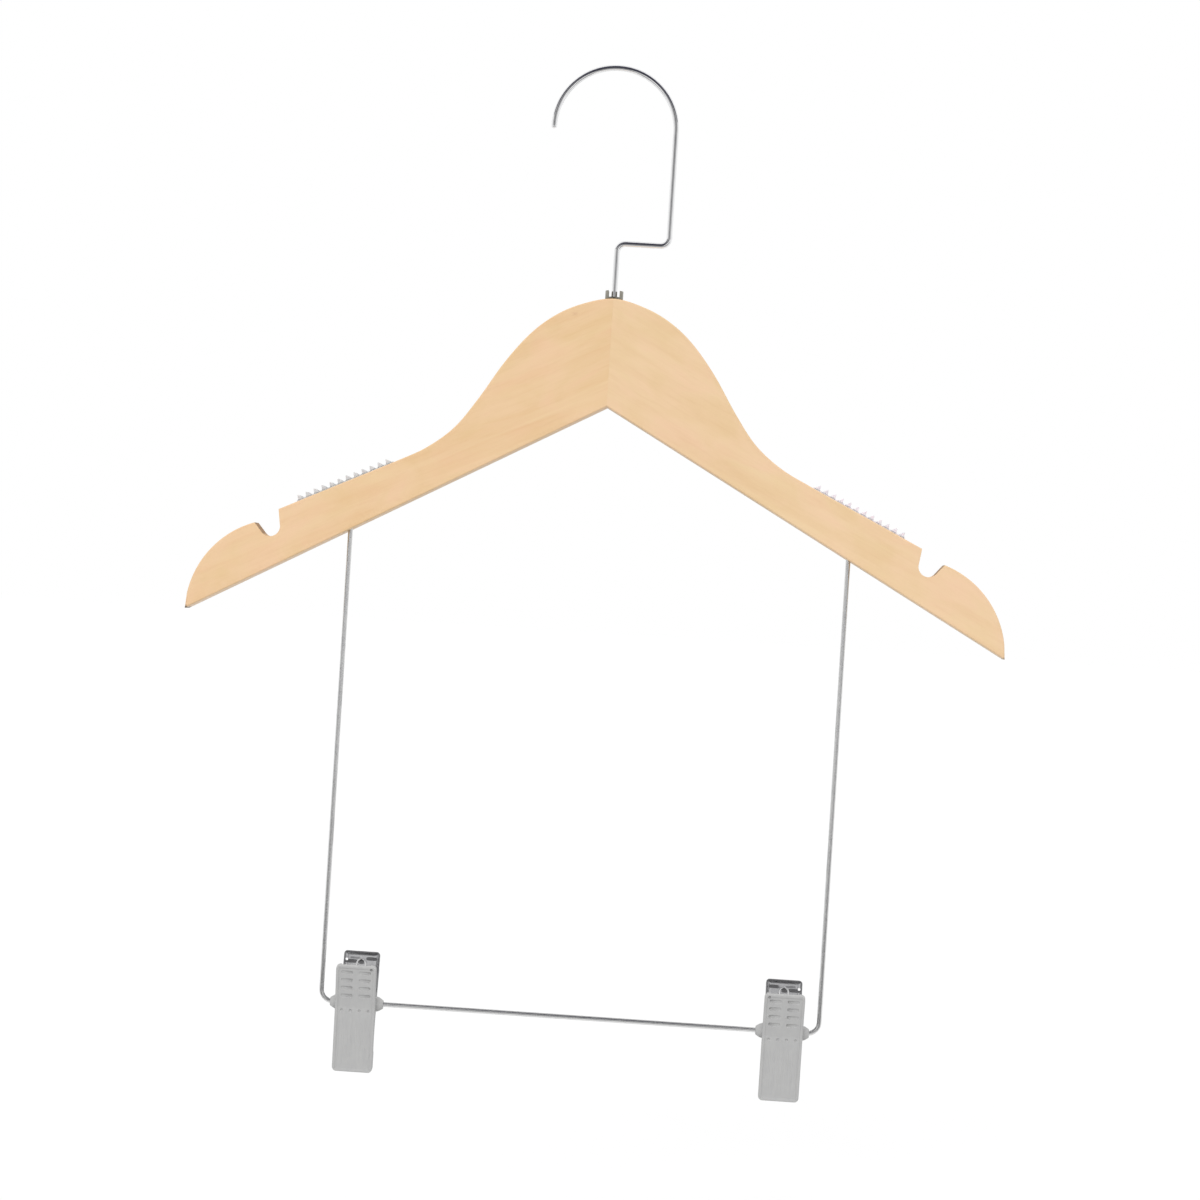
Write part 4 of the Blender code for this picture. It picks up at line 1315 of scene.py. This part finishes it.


# the rear tray's grip, pressed, with its rolled rim and its dents, both darkened with painted shade: each dent
# given by its distance towards the eyelet's side, height, half length, half height, depth and painted shade
traySizes = {
    "low": 5.5 * mm,
    "reach": 21.0 * mm,
    "frontReach": 16.4 * mm,
    "frontHalfWidth": 6.8 * mm,
    "corner": 1.5 * mm,
    "rim": 0.8 * mm,
    "rimRound": 0.5 * mm,
    "rimFoot": 0.3,
    "rimStep": 0.08 * mm,
    "rimDark": 0.85 * mm,
    "rimFade": 0.4 * mm,
    "paintedRimShade": 0.85,
    "filletStart": 0.85 * mm,
    "filletWidth": 1.2 * mm,
    "filletRise": 0.4 * mm,
    "dents": (
        (-4.4 * mm, 17.9 * mm, 2.5 * mm, 0.72 * mm, 0.16 * mm, 0.95),
        (2.7 * mm, 18.1 * mm, 2.3 * mm, 0.5 * mm, 0.06 * mm, 0.5),
        (4.5 * mm, 16.6 * mm, 2.9 * mm, 0.75 * mm, 0.14 * mm, 0.95),
        (0.1 * mm, 16.6 * mm, 1.3 * mm, 1.1 * mm, 0.14 * mm, 0.9),
    ),
    "dentSlope": 0.6,
    "eyeletHeight": 17.3 * mm,
    "drillLength": 6.0 * mm,
    "backRound": 0.15 * mm,
    "backShare": 0.7,
    "overlap": 0.3 * mm,
    "pressedRound": 0.32 * mm,
    "pressedSteps": 4,
    "pressedAngle": 32.0,
    "plateAngle": 30.0,
    "flatAngle": 1.0,
    "nearEdge": (0, 0.05, 0.12, 0.2, 0.3, 0.4, 0.5, 0.58, 0.66, 0.75, 0.85, 1.0, 1.2, 1.45, 1.75, 2.0),
    "columnStep": 0.18 * mm,
    "dentsLow": 15.4 * mm,
    "rowStep": 0.14 * mm,
    "plainRows": 10,
    "mergeReach": 0.002 * mm,
    "sharpAngle": 40.0,
}


def trayEdgeAt(across, height, half, reach):
    # the tray's half width at a height, and how far in from its outline a point lies
    size = traySizes
    width = half
    if reach - height < size["corner"]:
        short = size["corner"] - max(reach - height, 0.0)
        width -= size["corner"] - math.sqrt(max(size["corner"] ** 2 - short**2, 0.0))
    return width, max(min(width - abs(across), reach - height), 0.0)


# painted shade along the tray's rolled rim
def paintedRimShade(edge):
    return traySizes["paintedRimShade"] * smoothStep((traySizes["rimDark"] - edge) / traySizes["rimFade"])


def trayRelief(across, height, outerSide):
    # height over the steel's inner face, and how much painted shade the skin gets there
    size = traySizes
    edge = trayEdgeAt(across, height, clipSizes["rearHalfWidth"], size["reach"])[1]
    short = 1 - min(edge / size["rimRound"], 1.0)
    rim = size["rim"] * (size["rimFoot"] + (1 - size["rimFoot"]) * math.sqrt(1 - short * short))
    inward = smoothStep((edge - size["rimRound"] - size["rimStep"]) / (size["filletStart"] - size["rimRound"]))
    fillet = size["filletRise"] * max(1 - max(edge - size["filletStart"], 0.0) / size["filletWidth"], 0.0) ** 2
    rise = rim * (1 - inward) + fillet * inward
    dark = paintedRimShade(edge)
    for middle, dentHeight, halfLength, halfHeight, depth, darkness in size["dents"]:
        u = (across - outerSide * middle) / halfLength
        v = (height - dentHeight) / halfHeight
        inside = smoothStep((1 - u**4 - v**4) / size["dentSlope"])
        rise -= depth * inside * (v + 1) / 2
        dark = max(dark, darkness * inside)
    return rise, dark


def trayStations():
    # columns and rows, close near the edges and where the dents are
    size = traySizes
    near = [step * mm for step in size["nearEdge"]]
    half = clipSizes["rearHalfWidth"]
    count = round(2 * (half - near[-1]) / size["columnStep"])
    columns = [-half + step for step in near[:-1]]
    columns += [-half + near[-1] + 2 * (half - near[-1]) * i / count for i in range(count + 1)]
    columns += [half - step for step in reversed(near[:-1])]
    dentsLow, plain = size["dentsLow"], size["plainRows"]
    heights = [size["low"] + (dentsLow - size["low"]) * i / plain for i in range(plain)]
    fine = round((size["reach"] - near[-1] - dentsLow) / size["rowStep"])
    heights += [dentsLow + (size["reach"] - near[-1] - dentsLow) * i / fine for i in range(fine)]
    heights += [size["reach"] - step for step in reversed(near)]
    return columns, heights


def makeTrayTop(sideName, outerSide, place, body):
    size = traySizes
    steel = clipSizes["steel"]
    half = clipSizes["rearHalfWidth"]
    line = plateLine(-clipSizes["tipDrop"], size["reach"])
    columns, heights = trayStations()
    work = bmesh.new()
    rings = []
    for height in heights:
        middle, normal = lineAt(line, height)
        width = trayEdgeAt(0, height, half, size["reach"])[0]
        section = []
        for column in columns:
            across = column * width / half
            section.append((across, trayRelief(across, height, outerSide)[0]))
        back = width - size["backRound"]
        edge = -steel * size["backShare"]
        section += [(width, edge), (back, -steel), (0, -steel), (-back, -steel), (-width, edge)]
        ring = []
        for across, rise in section:
            here = middle - normal * rise
            ring.append(work.verts.new(place @ Vector((across, -here.x, here.y))))
        rings.append(ring)
    joinRings(work, rings)
    top = pieceFrom(sideName + "TrayTop", work, size["sharpAngle"])
    middle = lineAt(line, size["eyeletHeight"])[0]
    across = outerSide * coverSizes["eyeletAcross"]
    cutEyelet(top, place @ Matrix.Translation((across, -middle.x, middle.y)), size["drillLength"])
    top.data.shade_smooth()
    top.data.set_sharp_from_angle(angle=math.radians(size["sharpAngle"]))
    markPaintedShade(top, place, outerSide, half, size["reach"], True)
    dress(top, metals["trayChrome"], "tray_steel", body)


def markPaintedShade(piece, place, outerSide, half, reach, pressed):
    # painted shade, darker towards the rolled rims and in the dents
    back = place.inverted()
    mesh = piece.data
    marks = mesh.attributes.new("paintedShade", "FLOAT", "POINT")
    for i, vert in enumerate(mesh.vertices):
        here = back @ vert.co
        if pressed:
            marks.data[i].value = trayRelief(here.x, here.z, outerSide)[1]
        else:
            edge = trayEdgeAt(here.x, here.z, half, reach)[1]
            marks.data[i].value = paintedRimShade(edge)


def makePlate(sideName, half, turn, outerSide, body, node):
    # the CAD tray with its pressed edges rounded, the rear one with its grip drawn anew
    size = traySizes
    rear = half == "Rear"
    place = clipPlace(sideName, turn)
    work = bmesh.new()
    work.from_mesh(frame["nodes"][node].data)
    bmesh.ops.remove_doubles(work, verts=work.verts[:], dist=size["mergeReach"])
    flat = math.radians(size["flatAngle"])
    bmesh.ops.dissolve_limit(work, angle_limit=flat, verts=work.verts[:], edges=work.edges[:])
    if rear:
        cutHeight = jointAt[sideName + "_clip_swing"].z + size["low"] + size["overlap"]
        parts = [*work.verts, *work.edges, *work.faces]
        plane = {"plane_co": (0, 0, cutHeight), "plane_no": (0, 0, 1), "clear_outer": True}
        bmesh.ops.bisect_plane(work, geom=parts, **plane)
        bmesh.ops.holes_fill(work, edges=[edge for edge in work.edges if edge.is_boundary])
    plate = pieceFrom(sideName + half + "Tray", work, size["plateAngle"])
    softenEdges(plate, size["pressedRound"], size["pressedSteps"], size["pressedAngle"])
    keepFlats(plate)
    bakeModifiers(plate)
    width, reach = size["frontHalfWidth"], size["frontReach"]
    if rear:
        width, reach = clipSizes["rearHalfWidth"], size["reach"]
        makeTrayTop(sideName, outerSide, place, body)
    markPaintedShade(plate, place, outerSide, width, reach, False)
    dress(plate, metals["trayChrome"], "tray_steel", body, node)


# pivot: a tube with a moulded cone at one end, and a cap with its own cone for the other end
pivotSizes = {
    "bore": 1.3 * mm,
    "barrel": 2.2 * mm,
    "spigot": 1.85 * mm,
    "spigotLength": 1.3 * mm,
    "plateHalf": 7.8 * mm,
    "coneBase": 8.1 * mm,
    "coneEnd": 11.4 * mm,
    "cone": 3.3 * mm,
    "coneTip": 1.8 * mm,
    "belly": 2.85 * mm,
    "capGap": 0.3 * mm,
    "edge": 0.25 * mm,
    "edgeSteps": 3,
    "sides": 56,
}


def makePivot(sideName, side):
    size = pivotSizes
    pivot = jointAt[sideName + "_clip_swing"]
    place = Matrix.Translation(pivot) @ Matrix.Rotation(side * flatTurn, 4, "Y")
    middle = (size["coneBase"] + size["coneEnd"]) / 2
    spigotEnd = size["plateHalf"] + size["spigotLength"]
    tube = [
        (size["bore"], size["coneEnd"]),
        (size["coneTip"], size["coneEnd"]),
        (size["belly"], middle),
        (size["cone"], size["coneBase"] + size["edge"]),
        (size["cone"], size["coneBase"]),
        (size["barrel"], size["coneBase"]),
        (size["barrel"], -size["plateHalf"]),
        (size["spigot"], -size["plateHalf"]),
        (size["spigot"], -spigotEnd),
        (size["bore"], -spigotEnd),
    ]
    profile = roundedProfile(tube, size["edge"], size["edgeSteps"])
    piece = lathe(sideName + "PivotTube", profile, size["sides"], place)
    dress(piece, plastics["pivotGrey"], "pivot_plastic", sideName + "_slider", sideName + "_clip_pivot_tube")
    pocket, pocketEnd = size["spigot"] + size["capGap"], -spigotEnd - size["capGap"]
    cap = [
        (pocket, -size["coneBase"]),
        (size["cone"], -size["coneBase"]),
        (size["cone"], -size["coneBase"] - size["edge"]),
        (size["belly"], -middle),
        (size["coneTip"], -size["coneEnd"]),
        (size["bore"], -size["coneEnd"]),
        (size["bore"], pocketEnd),
        (pocket, pocketEnd),
    ]
    profile = roundedProfile(cap, size["edge"], size["edgeSteps"])
    piece = lathe(sideName + "PivotCap", profile, size["sides"], place)
    dress(piece, plastics["pivotGrey"], "pivot_plastic", sideName + "_slider", sideName + "_clip_pivot_cap")


# double torsion spring: the legs lie against the front jaw and the loop against the rear one
springSizes = {
    "wire": 0.8 * mm,
    "coilRadius": 2.9 * mm,
    "pitch": 1.35 * mm,
    "turns": 2,
    "loopWidth": 3.8 * mm,
    "loopReach": 17.8 * mm,
    "legReach": 11.0 * mm,
    "pointsPerTurn": 40,
    "legPoints": 8,
    "loopPoints": 24,
    "gap": 0.3 * mm,
    "blendShare": 0.8,
    "sides": 14,
}


def springSeat(height):
    size = springSizes
    lean = math.cos(math.radians(clipSizes["gripAngle"]))
    return plateLine(-clipSizes["tipDrop"], height)[-1][0] - size["wire"] / 2 - size["gap"] / lean


def springHalf():
    size = springSizes
    radius = size["coilRadius"]
    leg = Vector((springSeat(size["legReach"]), size["legReach"]))
    loop = Vector((springSeat(size["loopReach"]), size["loopReach"]))
    first = math.atan2(leg.x, leg.y) + math.acos(radius / leg.length)
    last = 2 * math.pi - math.atan2(loop.x, loop.y) - math.acos(radius / loop.length)
    sweep = last - first + 2 * math.pi * size["turns"]
    steps = math.ceil(sweep / (2 * math.pi) * size["pointsPerTurn"])
    inner = size["loopWidth"] / 2
    points = []
    for i in range(steps + 1):
        angle = first + sweep * i / steps
        across = inner + size["pitch"] * (sweep - sweep * i / steps) / (2 * math.pi)
        points.append((across, -radius * math.sin(angle), radius * math.cos(angle)))
    across = points[0][0]
    foot = Vector((-points[0][1], points[0][2]))
    runs = size["legPoints"]
    for i in range(1, runs + 1):
        here = foot.lerp(leg, i / runs)
        points.insert(0, (across, -here.x, here.y))
    foot = Vector((points[-1][1], points[-1][2]))
    rise = (loop - foot).normalized()
    bow = loop - rise * inner
    points += [(inner, *foot.lerp(bow, i / runs)) for i in range(1, runs)]
    for i in range(size["loopPoints"] // 2 + 1):
        angle = math.pi * i / size["loopPoints"]
        here = bow + rise * inner * math.sin(angle)
        points.append((inner * math.cos(angle), here.x, here.y))
    return points


def makeSpring(sideName):
    size = springSizes
    half = springHalf()
    pivot = jointAt[sideName + "_clip_swing"]
    points = half + [(-x, y, z) for x, y, z in reversed(half[:-1])]
    points = [pivot + Vector(point) for point in points]
    spring = sweepTube(sideName + "Spring", points, [size["wire"] / 2] * len(points), size["sides"])
    spring.data.materials.clear()
    spring.data.materials.append(metals["springSteel"])
    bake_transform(spring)
    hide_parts(sideName + "_clip_spring")


# faint moulded ribs on the lower jaws, from Geometry Nodes
ribSizes = {
    "count": 8,
    "pitch": 1.9 * mm,
    "width": 0.75 * mm,
    "rise": 0.07 * mm,
    "low": -26.6 * mm,
    "high": -4.4 * mm,
}


def makeRibTree():
    # long half-sunk ovals in a row
    lengths = ("Pitch", "Rib Width", "Rib Rise", "Rib Length")
    tree, keys, kit, given = startTree("jawRibs", lengths, "Ribs")
    ball = kit.add("GeometryNodeMeshUVSphere", {"Segments": 16, "Rings": 24, "Radius": 0.5}).outputs["Mesh"]
    deep = kit.math("MULTIPLY", given["Rib Rise"], 2.0)
    ribSize = kit.add("ShaderNodeCombineXYZ", {"X": given["Rib Width"], "Y": deep, "Z": given["Rib Length"]})
    rib = kit.add("GeometryNodeTransform", {"Geometry": ball, "Scale": ribSize.outputs[0]})
    step = kit.add("ShaderNodeCombineXYZ", {"X": given["Pitch"]}).outputs[0]
    span = kit.math("MULTIPLY", given["Pitch"], kit.math("SUBTRACT", given["Ribs"], 1.0))
    start = kit.add("ShaderNodeCombineXYZ", {"X": kit.math("MULTIPLY", span, -0.5)}).outputs[0]
    row = kit.add("GeometryNodeMeshLine", {"Count": given["Ribs"], "Start Location": start, "Offset": step})
    many = kit.add("GeometryNodeInstanceOnPoints", {"Points": row.outputs[0], "Instance": rib.outputs[0]})
    endTree(kit, many.outputs[0], given["Material"])
    return tree, keys


def makeRibs(sideName, half, turn, body, tree, keys):
    size = ribSizes
    deep = clipSizes["steel"] + clipSizes["gap"] + coverSizes["wall"] - coverSizes["beadRise"]
    inner = plateLine(-coverSizes["drop"], coverSizes["rearReach"])
    middle, normal = lineAt(inner, (size["low"] + size["high"]) / 2)
    spot = middle + normal * deep
    lean = math.atan2(-normal.y, normal.x)
    values = {
        "Ribs": size["count"],
        "Pitch": size["pitch"],
        "Rib Width": size["width"],
        "Rib Rise": size["rise"],
        "Rib Length": size["high"] - size["low"],
        "Material": plastics["coverGrey"],
    }
    ribs = fromTree(sideName + half + "Ribs", tree, keys, values)
    onFace = Matrix.Translation((0, -spot.x, spot.y)) @ Matrix.Rotation(lean, 4, "X")
    ribs.data.transform(clipPlace(sideName, turn) @ onFace)
    ribs.data.shade_smooth()
    dress(ribs, plastics["coverGrey"], "grey_plastic", body)


def makeClip(sideName, side, ribTree, ribKeys):
    makePivot(sideName, side)
    node = sideName + "_clip_"
    for half, turn, eyeletSide in (("Front", 0.0, -side), ("Rear", math.pi, -side)):
        body = f"{sideName}_{half.lower()}_jaw"
        makePlate(sideName, half, turn, eyeletSide, body, node + half.lower() + "_plate")
        makeCover(sideName, half, turn, eyeletSide, body, node + half.lower() + "_cover")
        makeRibs(sideName, half, turn, body, ribTree, ribKeys)
    makeSpring(sideName)
    print(sideName + " clip ready")


makeHook()
makeInsert()
print("hook and insert ready")
for sideName, side in (("left", -1), ("right", 1)):
    makeArm(sideName, side)
dressDowels()
makeGrips()
makeDropFrame()
print("wooden body and drop frame ready")
ribTree, ribKeys = makeRibTree()
for sideName, side in (("left", -1), ("right", 1)):
    makeClip(sideName, side, ribTree, ribKeys)


# studio: pale floor, white surroundings for the camera, soft light and sheets that only reflections see
studioSizes = {
    "floorDrop": 0.6,
    "floorSize": 60.0,
    "floorGlow": 0.36,
    "floorCloud": 2.0,
    "floorEnds": (0.3, 0.7),
    "floorGreys": ((0.6, 0.6, 0.6), (0.62, 0.62, 0.62)),
    "floorRough": 0.8,
    "ambient": 0.85,
    "softness": 32.0,
}
lamps = {
    "keyLamp": {"comesFrom": (-0.2, -1.2, 0.75), "power": 0.95},
    "backLamp": {"comesFrom": (0.3, 1.2, 0.75), "power": 0.4},
}
wingGreys = ((-0.3, 0.92), (-0.13, 0.88), (-0.08, 0.64), (0.2, 0.3))
# sheets round the hanger: angles from the camera's side towards +X, heights, radius and greys by height
arcScreens = {
    "overheadBand": {
        "arc": (-60, 60),
        "span": (0.2, 0.7),
        "radius": 0.5,
        "greys": ((0.2, 0.08), (0.7, 0.05)),
        "blue": 0.03,
    },
    "nearStrip": {
        "arc": (-9.5, 9.5),
        "span": (-0.3, 0.2),
        "radius": 0.5,
        "greys": ((-0.3, 0.5), (-0.14, 0.13), (0.0, 0.05), (0.2, 0.05)),
        "blue": 0.01,
    },
    "leftWing": {"arc": (-9.5, -62), "span": (-0.3, 0.2), "radius": 0.5, "greys": wingGreys},
    "rightWing": {"arc": (9.5, 62), "span": (-0.3, 0.2), "radius": 0.5, "greys": wingGreys},
    "lowStrip": {
        "arc": (-16, 16),
        "span": (-0.6, 0.1),
        "radius": 1.6,
        "greys": ((-0.6, 0.68), (-0.14, 0.6), (0.1, 0.35)),
    },
    "backScreen": {"arc": (150, 210), "span": (-0.6, -0.1), "radius": 1.6, "greys": ((-0.6, 0.5), (-0.1, 0.5))},
    "backStrip": {"arc": (166, 194), "span": (-0.1, 0.7), "radius": 1.2, "greys": ((-0.1, 0.16), (0.7, 0.08))},
}
# level sheets of one grey: over the hanger, and close above and below the bar
levelScreens = {
    "ceilingScreen": {"half": 3.5, "depth": (-3.2, -0.3), "height": 1.2, "grey": 0.03, "blue": 0.03},
    "barHood": {"half": 0.082, "depth": (-0.01, 0.05), "height": -0.28, "grey": 0.45},
    "barTray": {"half": 0.082, "depth": (-0.01, 0.05), "height": -0.34, "grey": 0.5},
}
# upright sheets beside the wire legs, and a card that rises along the floor towards the camera
flagScreens = {
    "ends": ((0.222, -0.164), (0.288, -0.085)),
    "span": (-0.55, -0.14),
    "greys": ((-0.55, 0.2), (-0.14, 0.25)),
}
floorCard = {
    "half": 0.9,
    "profile": ((-0.25, -0.59), (-0.7, -0.55), (-1.5, -0.5)),
    "span": (-0.59, -0.5),
    "greys": ((-0.59, 0.7), (-0.55, 0.22), (-0.5, 0.15)),
}
# nearly square on, turned clockwise a little, from about 1.2 m
cameraView = {
    "distance": 1.2,
    "roll": 3.6,
    "yaw": 2.1,
    "acrossFrame": 0.5131,
    "target": (0.0062, -0.2264),
    "sensor": 36.0,
}


def seenDirectly(kit):
    # 1 where the camera, a reflection or a clear piece looks, 0 for scattered light
    rays = kit.add("ShaderNodeLightPath").outputs
    indirect = kit.math("MAXIMUM", rays["Is Glossy Ray"], rays["Is Transmission Ray"])
    return kit.math("MAXIMUM", rays["Is Camera Ray"], indirect)


def makeFloor():
    material, kit, shader, place = startMaterial("studioFloor")
    cloud = kit.noise(place, studioSizes["floorCloud"])
    color = kit.fade(cloud, studioSizes["floorEnds"], *studioSizes["floorGreys"])
    kit.tree.links.new(color, shader.inputs["Base Color"])
    shader.inputs["Roughness"].default_value = studioSizes["floorRough"]
    shader.inputs["Specular IOR Level"].default_value = 0.0
    shader.inputs["Emission Color"].default_value = (1, 1, 1, 1)
    glow = kit.math("MULTIPLY", seenDirectly(kit), studioSizes["floorGlow"])
    kit.tree.links.new(glow, shader.inputs["Emission Strength"])
    work = bmesh.new()
    bmesh.ops.create_grid(work, x_segments=2, y_segments=2, size=studioSizes["floorSize"] / 2)
    floor = pieceFrom("studioFloor", work)
    floor.data.transform(Matrix.Translation((0, 0, -studioSizes["floorDrop"])))
    floor.data.materials.append(material)


def makeWorld():
    world = bpy.data.worlds.new("whiteStudio")
    world.use_nodes = True
    bpy.context.scene.world = world
    kit = NodeKit(world.node_tree)
    dim = studioSizes["ambient"]
    strength = kit.math("ADD", kit.math("MULTIPLY", seenDirectly(kit), 1.0 - dim), dim)
    back = world.node_tree.nodes["Background"]
    back.inputs["Color"].default_value = (1, 1, 1, 1)
    world.node_tree.links.new(strength, back.inputs["Strength"])


def addLamp(name, comesFrom, power):
    lamp = bpy.data.lights.new(name, "SUN")
    lamp.energy = power
    lamp.angle = math.radians(studioSizes["softness"])
    holder = bpy.data.objects.new(name, lamp)
    holder.location = comesFrom
    holder.rotation_euler = Vector(comesFrom).to_track_quat("Z", "Y").to_euler()
    holder.visible_glossy = False
    bpy.context.scene.collection.objects.link(holder)


def addScreen(name, rows, span, stops, blue=0.0):
    # a sheet that only reflections see, its grey set by height
    material, kit, shader, place = startMaterial(name)
    shader.inputs["Base Color"].default_value = (0, 0, 0, 1)
    shader.inputs["Specular IOR Level"].default_value = 0.0
    height = kit.add("ShaderNodeSeparateXYZ", {"Vector": place}).outputs["Z"]
    share = kit.add("ShaderNodeMapRange", {"Value": height, "From Min": span[0], "From Max": span[1]})
    greys = [((z - span[0]) / (span[1] - span[0]), (grey, grey, min(1.0, grey + blue))) for z, grey in stops]
    kit.tree.links.new(kit.ramp(share.outputs[0], greys), shader.inputs["Emission Color"])
    shader.inputs["Emission Strength"].default_value = 1.0
    work = bmesh.new()
    points = [[work.verts.new(point) for point in row] for row in rows]
    for row, after in zip(points, points[1:]):
        for i in range(len(row) - 1):
            work.faces.new((row[i], after[i], after[i + 1], row[i + 1]))
    screen = pieceFrom(name, work)
    screen.data.materials.append(material)
    screen.visible_camera = False
    screen.visible_diffuse = False
    screen.visible_shadow = False
    screen.visible_transmission = False


def roundRows(start, end, foot, top, radius, steps=12):
    rows = []
    for i in range(steps + 1):
        angle = math.radians(start + (end - start) * i / steps)
        x, y = radius * math.sin(angle), -radius * math.cos(angle)
        rows.append(((x, y, foot), (x, y, top)))
    return rows


def makeScreens():
    for name, look in arcScreens.items():
        rows = roundRows(*look["arc"], *look["span"], look["radius"])
        addScreen(name, rows, look["span"], look["greys"], look.get("blue", 0.0))
    for name, look in levelScreens.items():
        height, grey = look["height"], look["grey"]
        span = (height - 1.0, height + 1.0)
        rows = [[(x, y, height) for y in look["depth"]] for x in (-look["half"], look["half"])]
        addScreen(name, rows, span, [(end, grey) for end in span], look.get("blue", 0.0))
    look = flagScreens
    for name, side in (("leftFlag", -1), ("rightFlag", 1)):
        rows = [[(side * x, y, z) for z in look["span"]] for x, y in look["ends"]]
        addScreen(name, rows, look["span"], look["greys"])
    look = floorCard
    rows = [[(x, y, z) for y, z in look["profile"]] for x in (-look["half"], look["half"])]
    addScreen("floorCard", rows, look["span"], look["greys"])


def makeCamera():
    view = cameraView
    camera = bpy.data.cameras.new("photoCamera")
    camera.sensor_width = view["sensor"]
    camera.lens = camera.sensor_width * view["distance"] / view["acrossFrame"]
    camera.clip_start = 0.01
    holder = bpy.data.objects.new("photoCamera", camera)
    yaw = math.radians(view["yaw"])
    across, height = view["target"]
    holder.location = (across + view["distance"] * math.sin(yaw), -view["distance"] * math.cos(yaw), height)
    holder.rotation_euler = (flatTurn, -math.radians(view["roll"]), yaw)
    bpy.context.scene.collection.objects.link(holder)
    bpy.context.scene.camera = holder


makeFloor()
makeWorld()
for name, look in lamps.items():
    addLamp(name, look["comesFrom"], look["power"])
makeScreens()
makeCamera()
scene = bpy.context.scene
scene.view_settings.view_transform = "Standard"
print("studio ready")
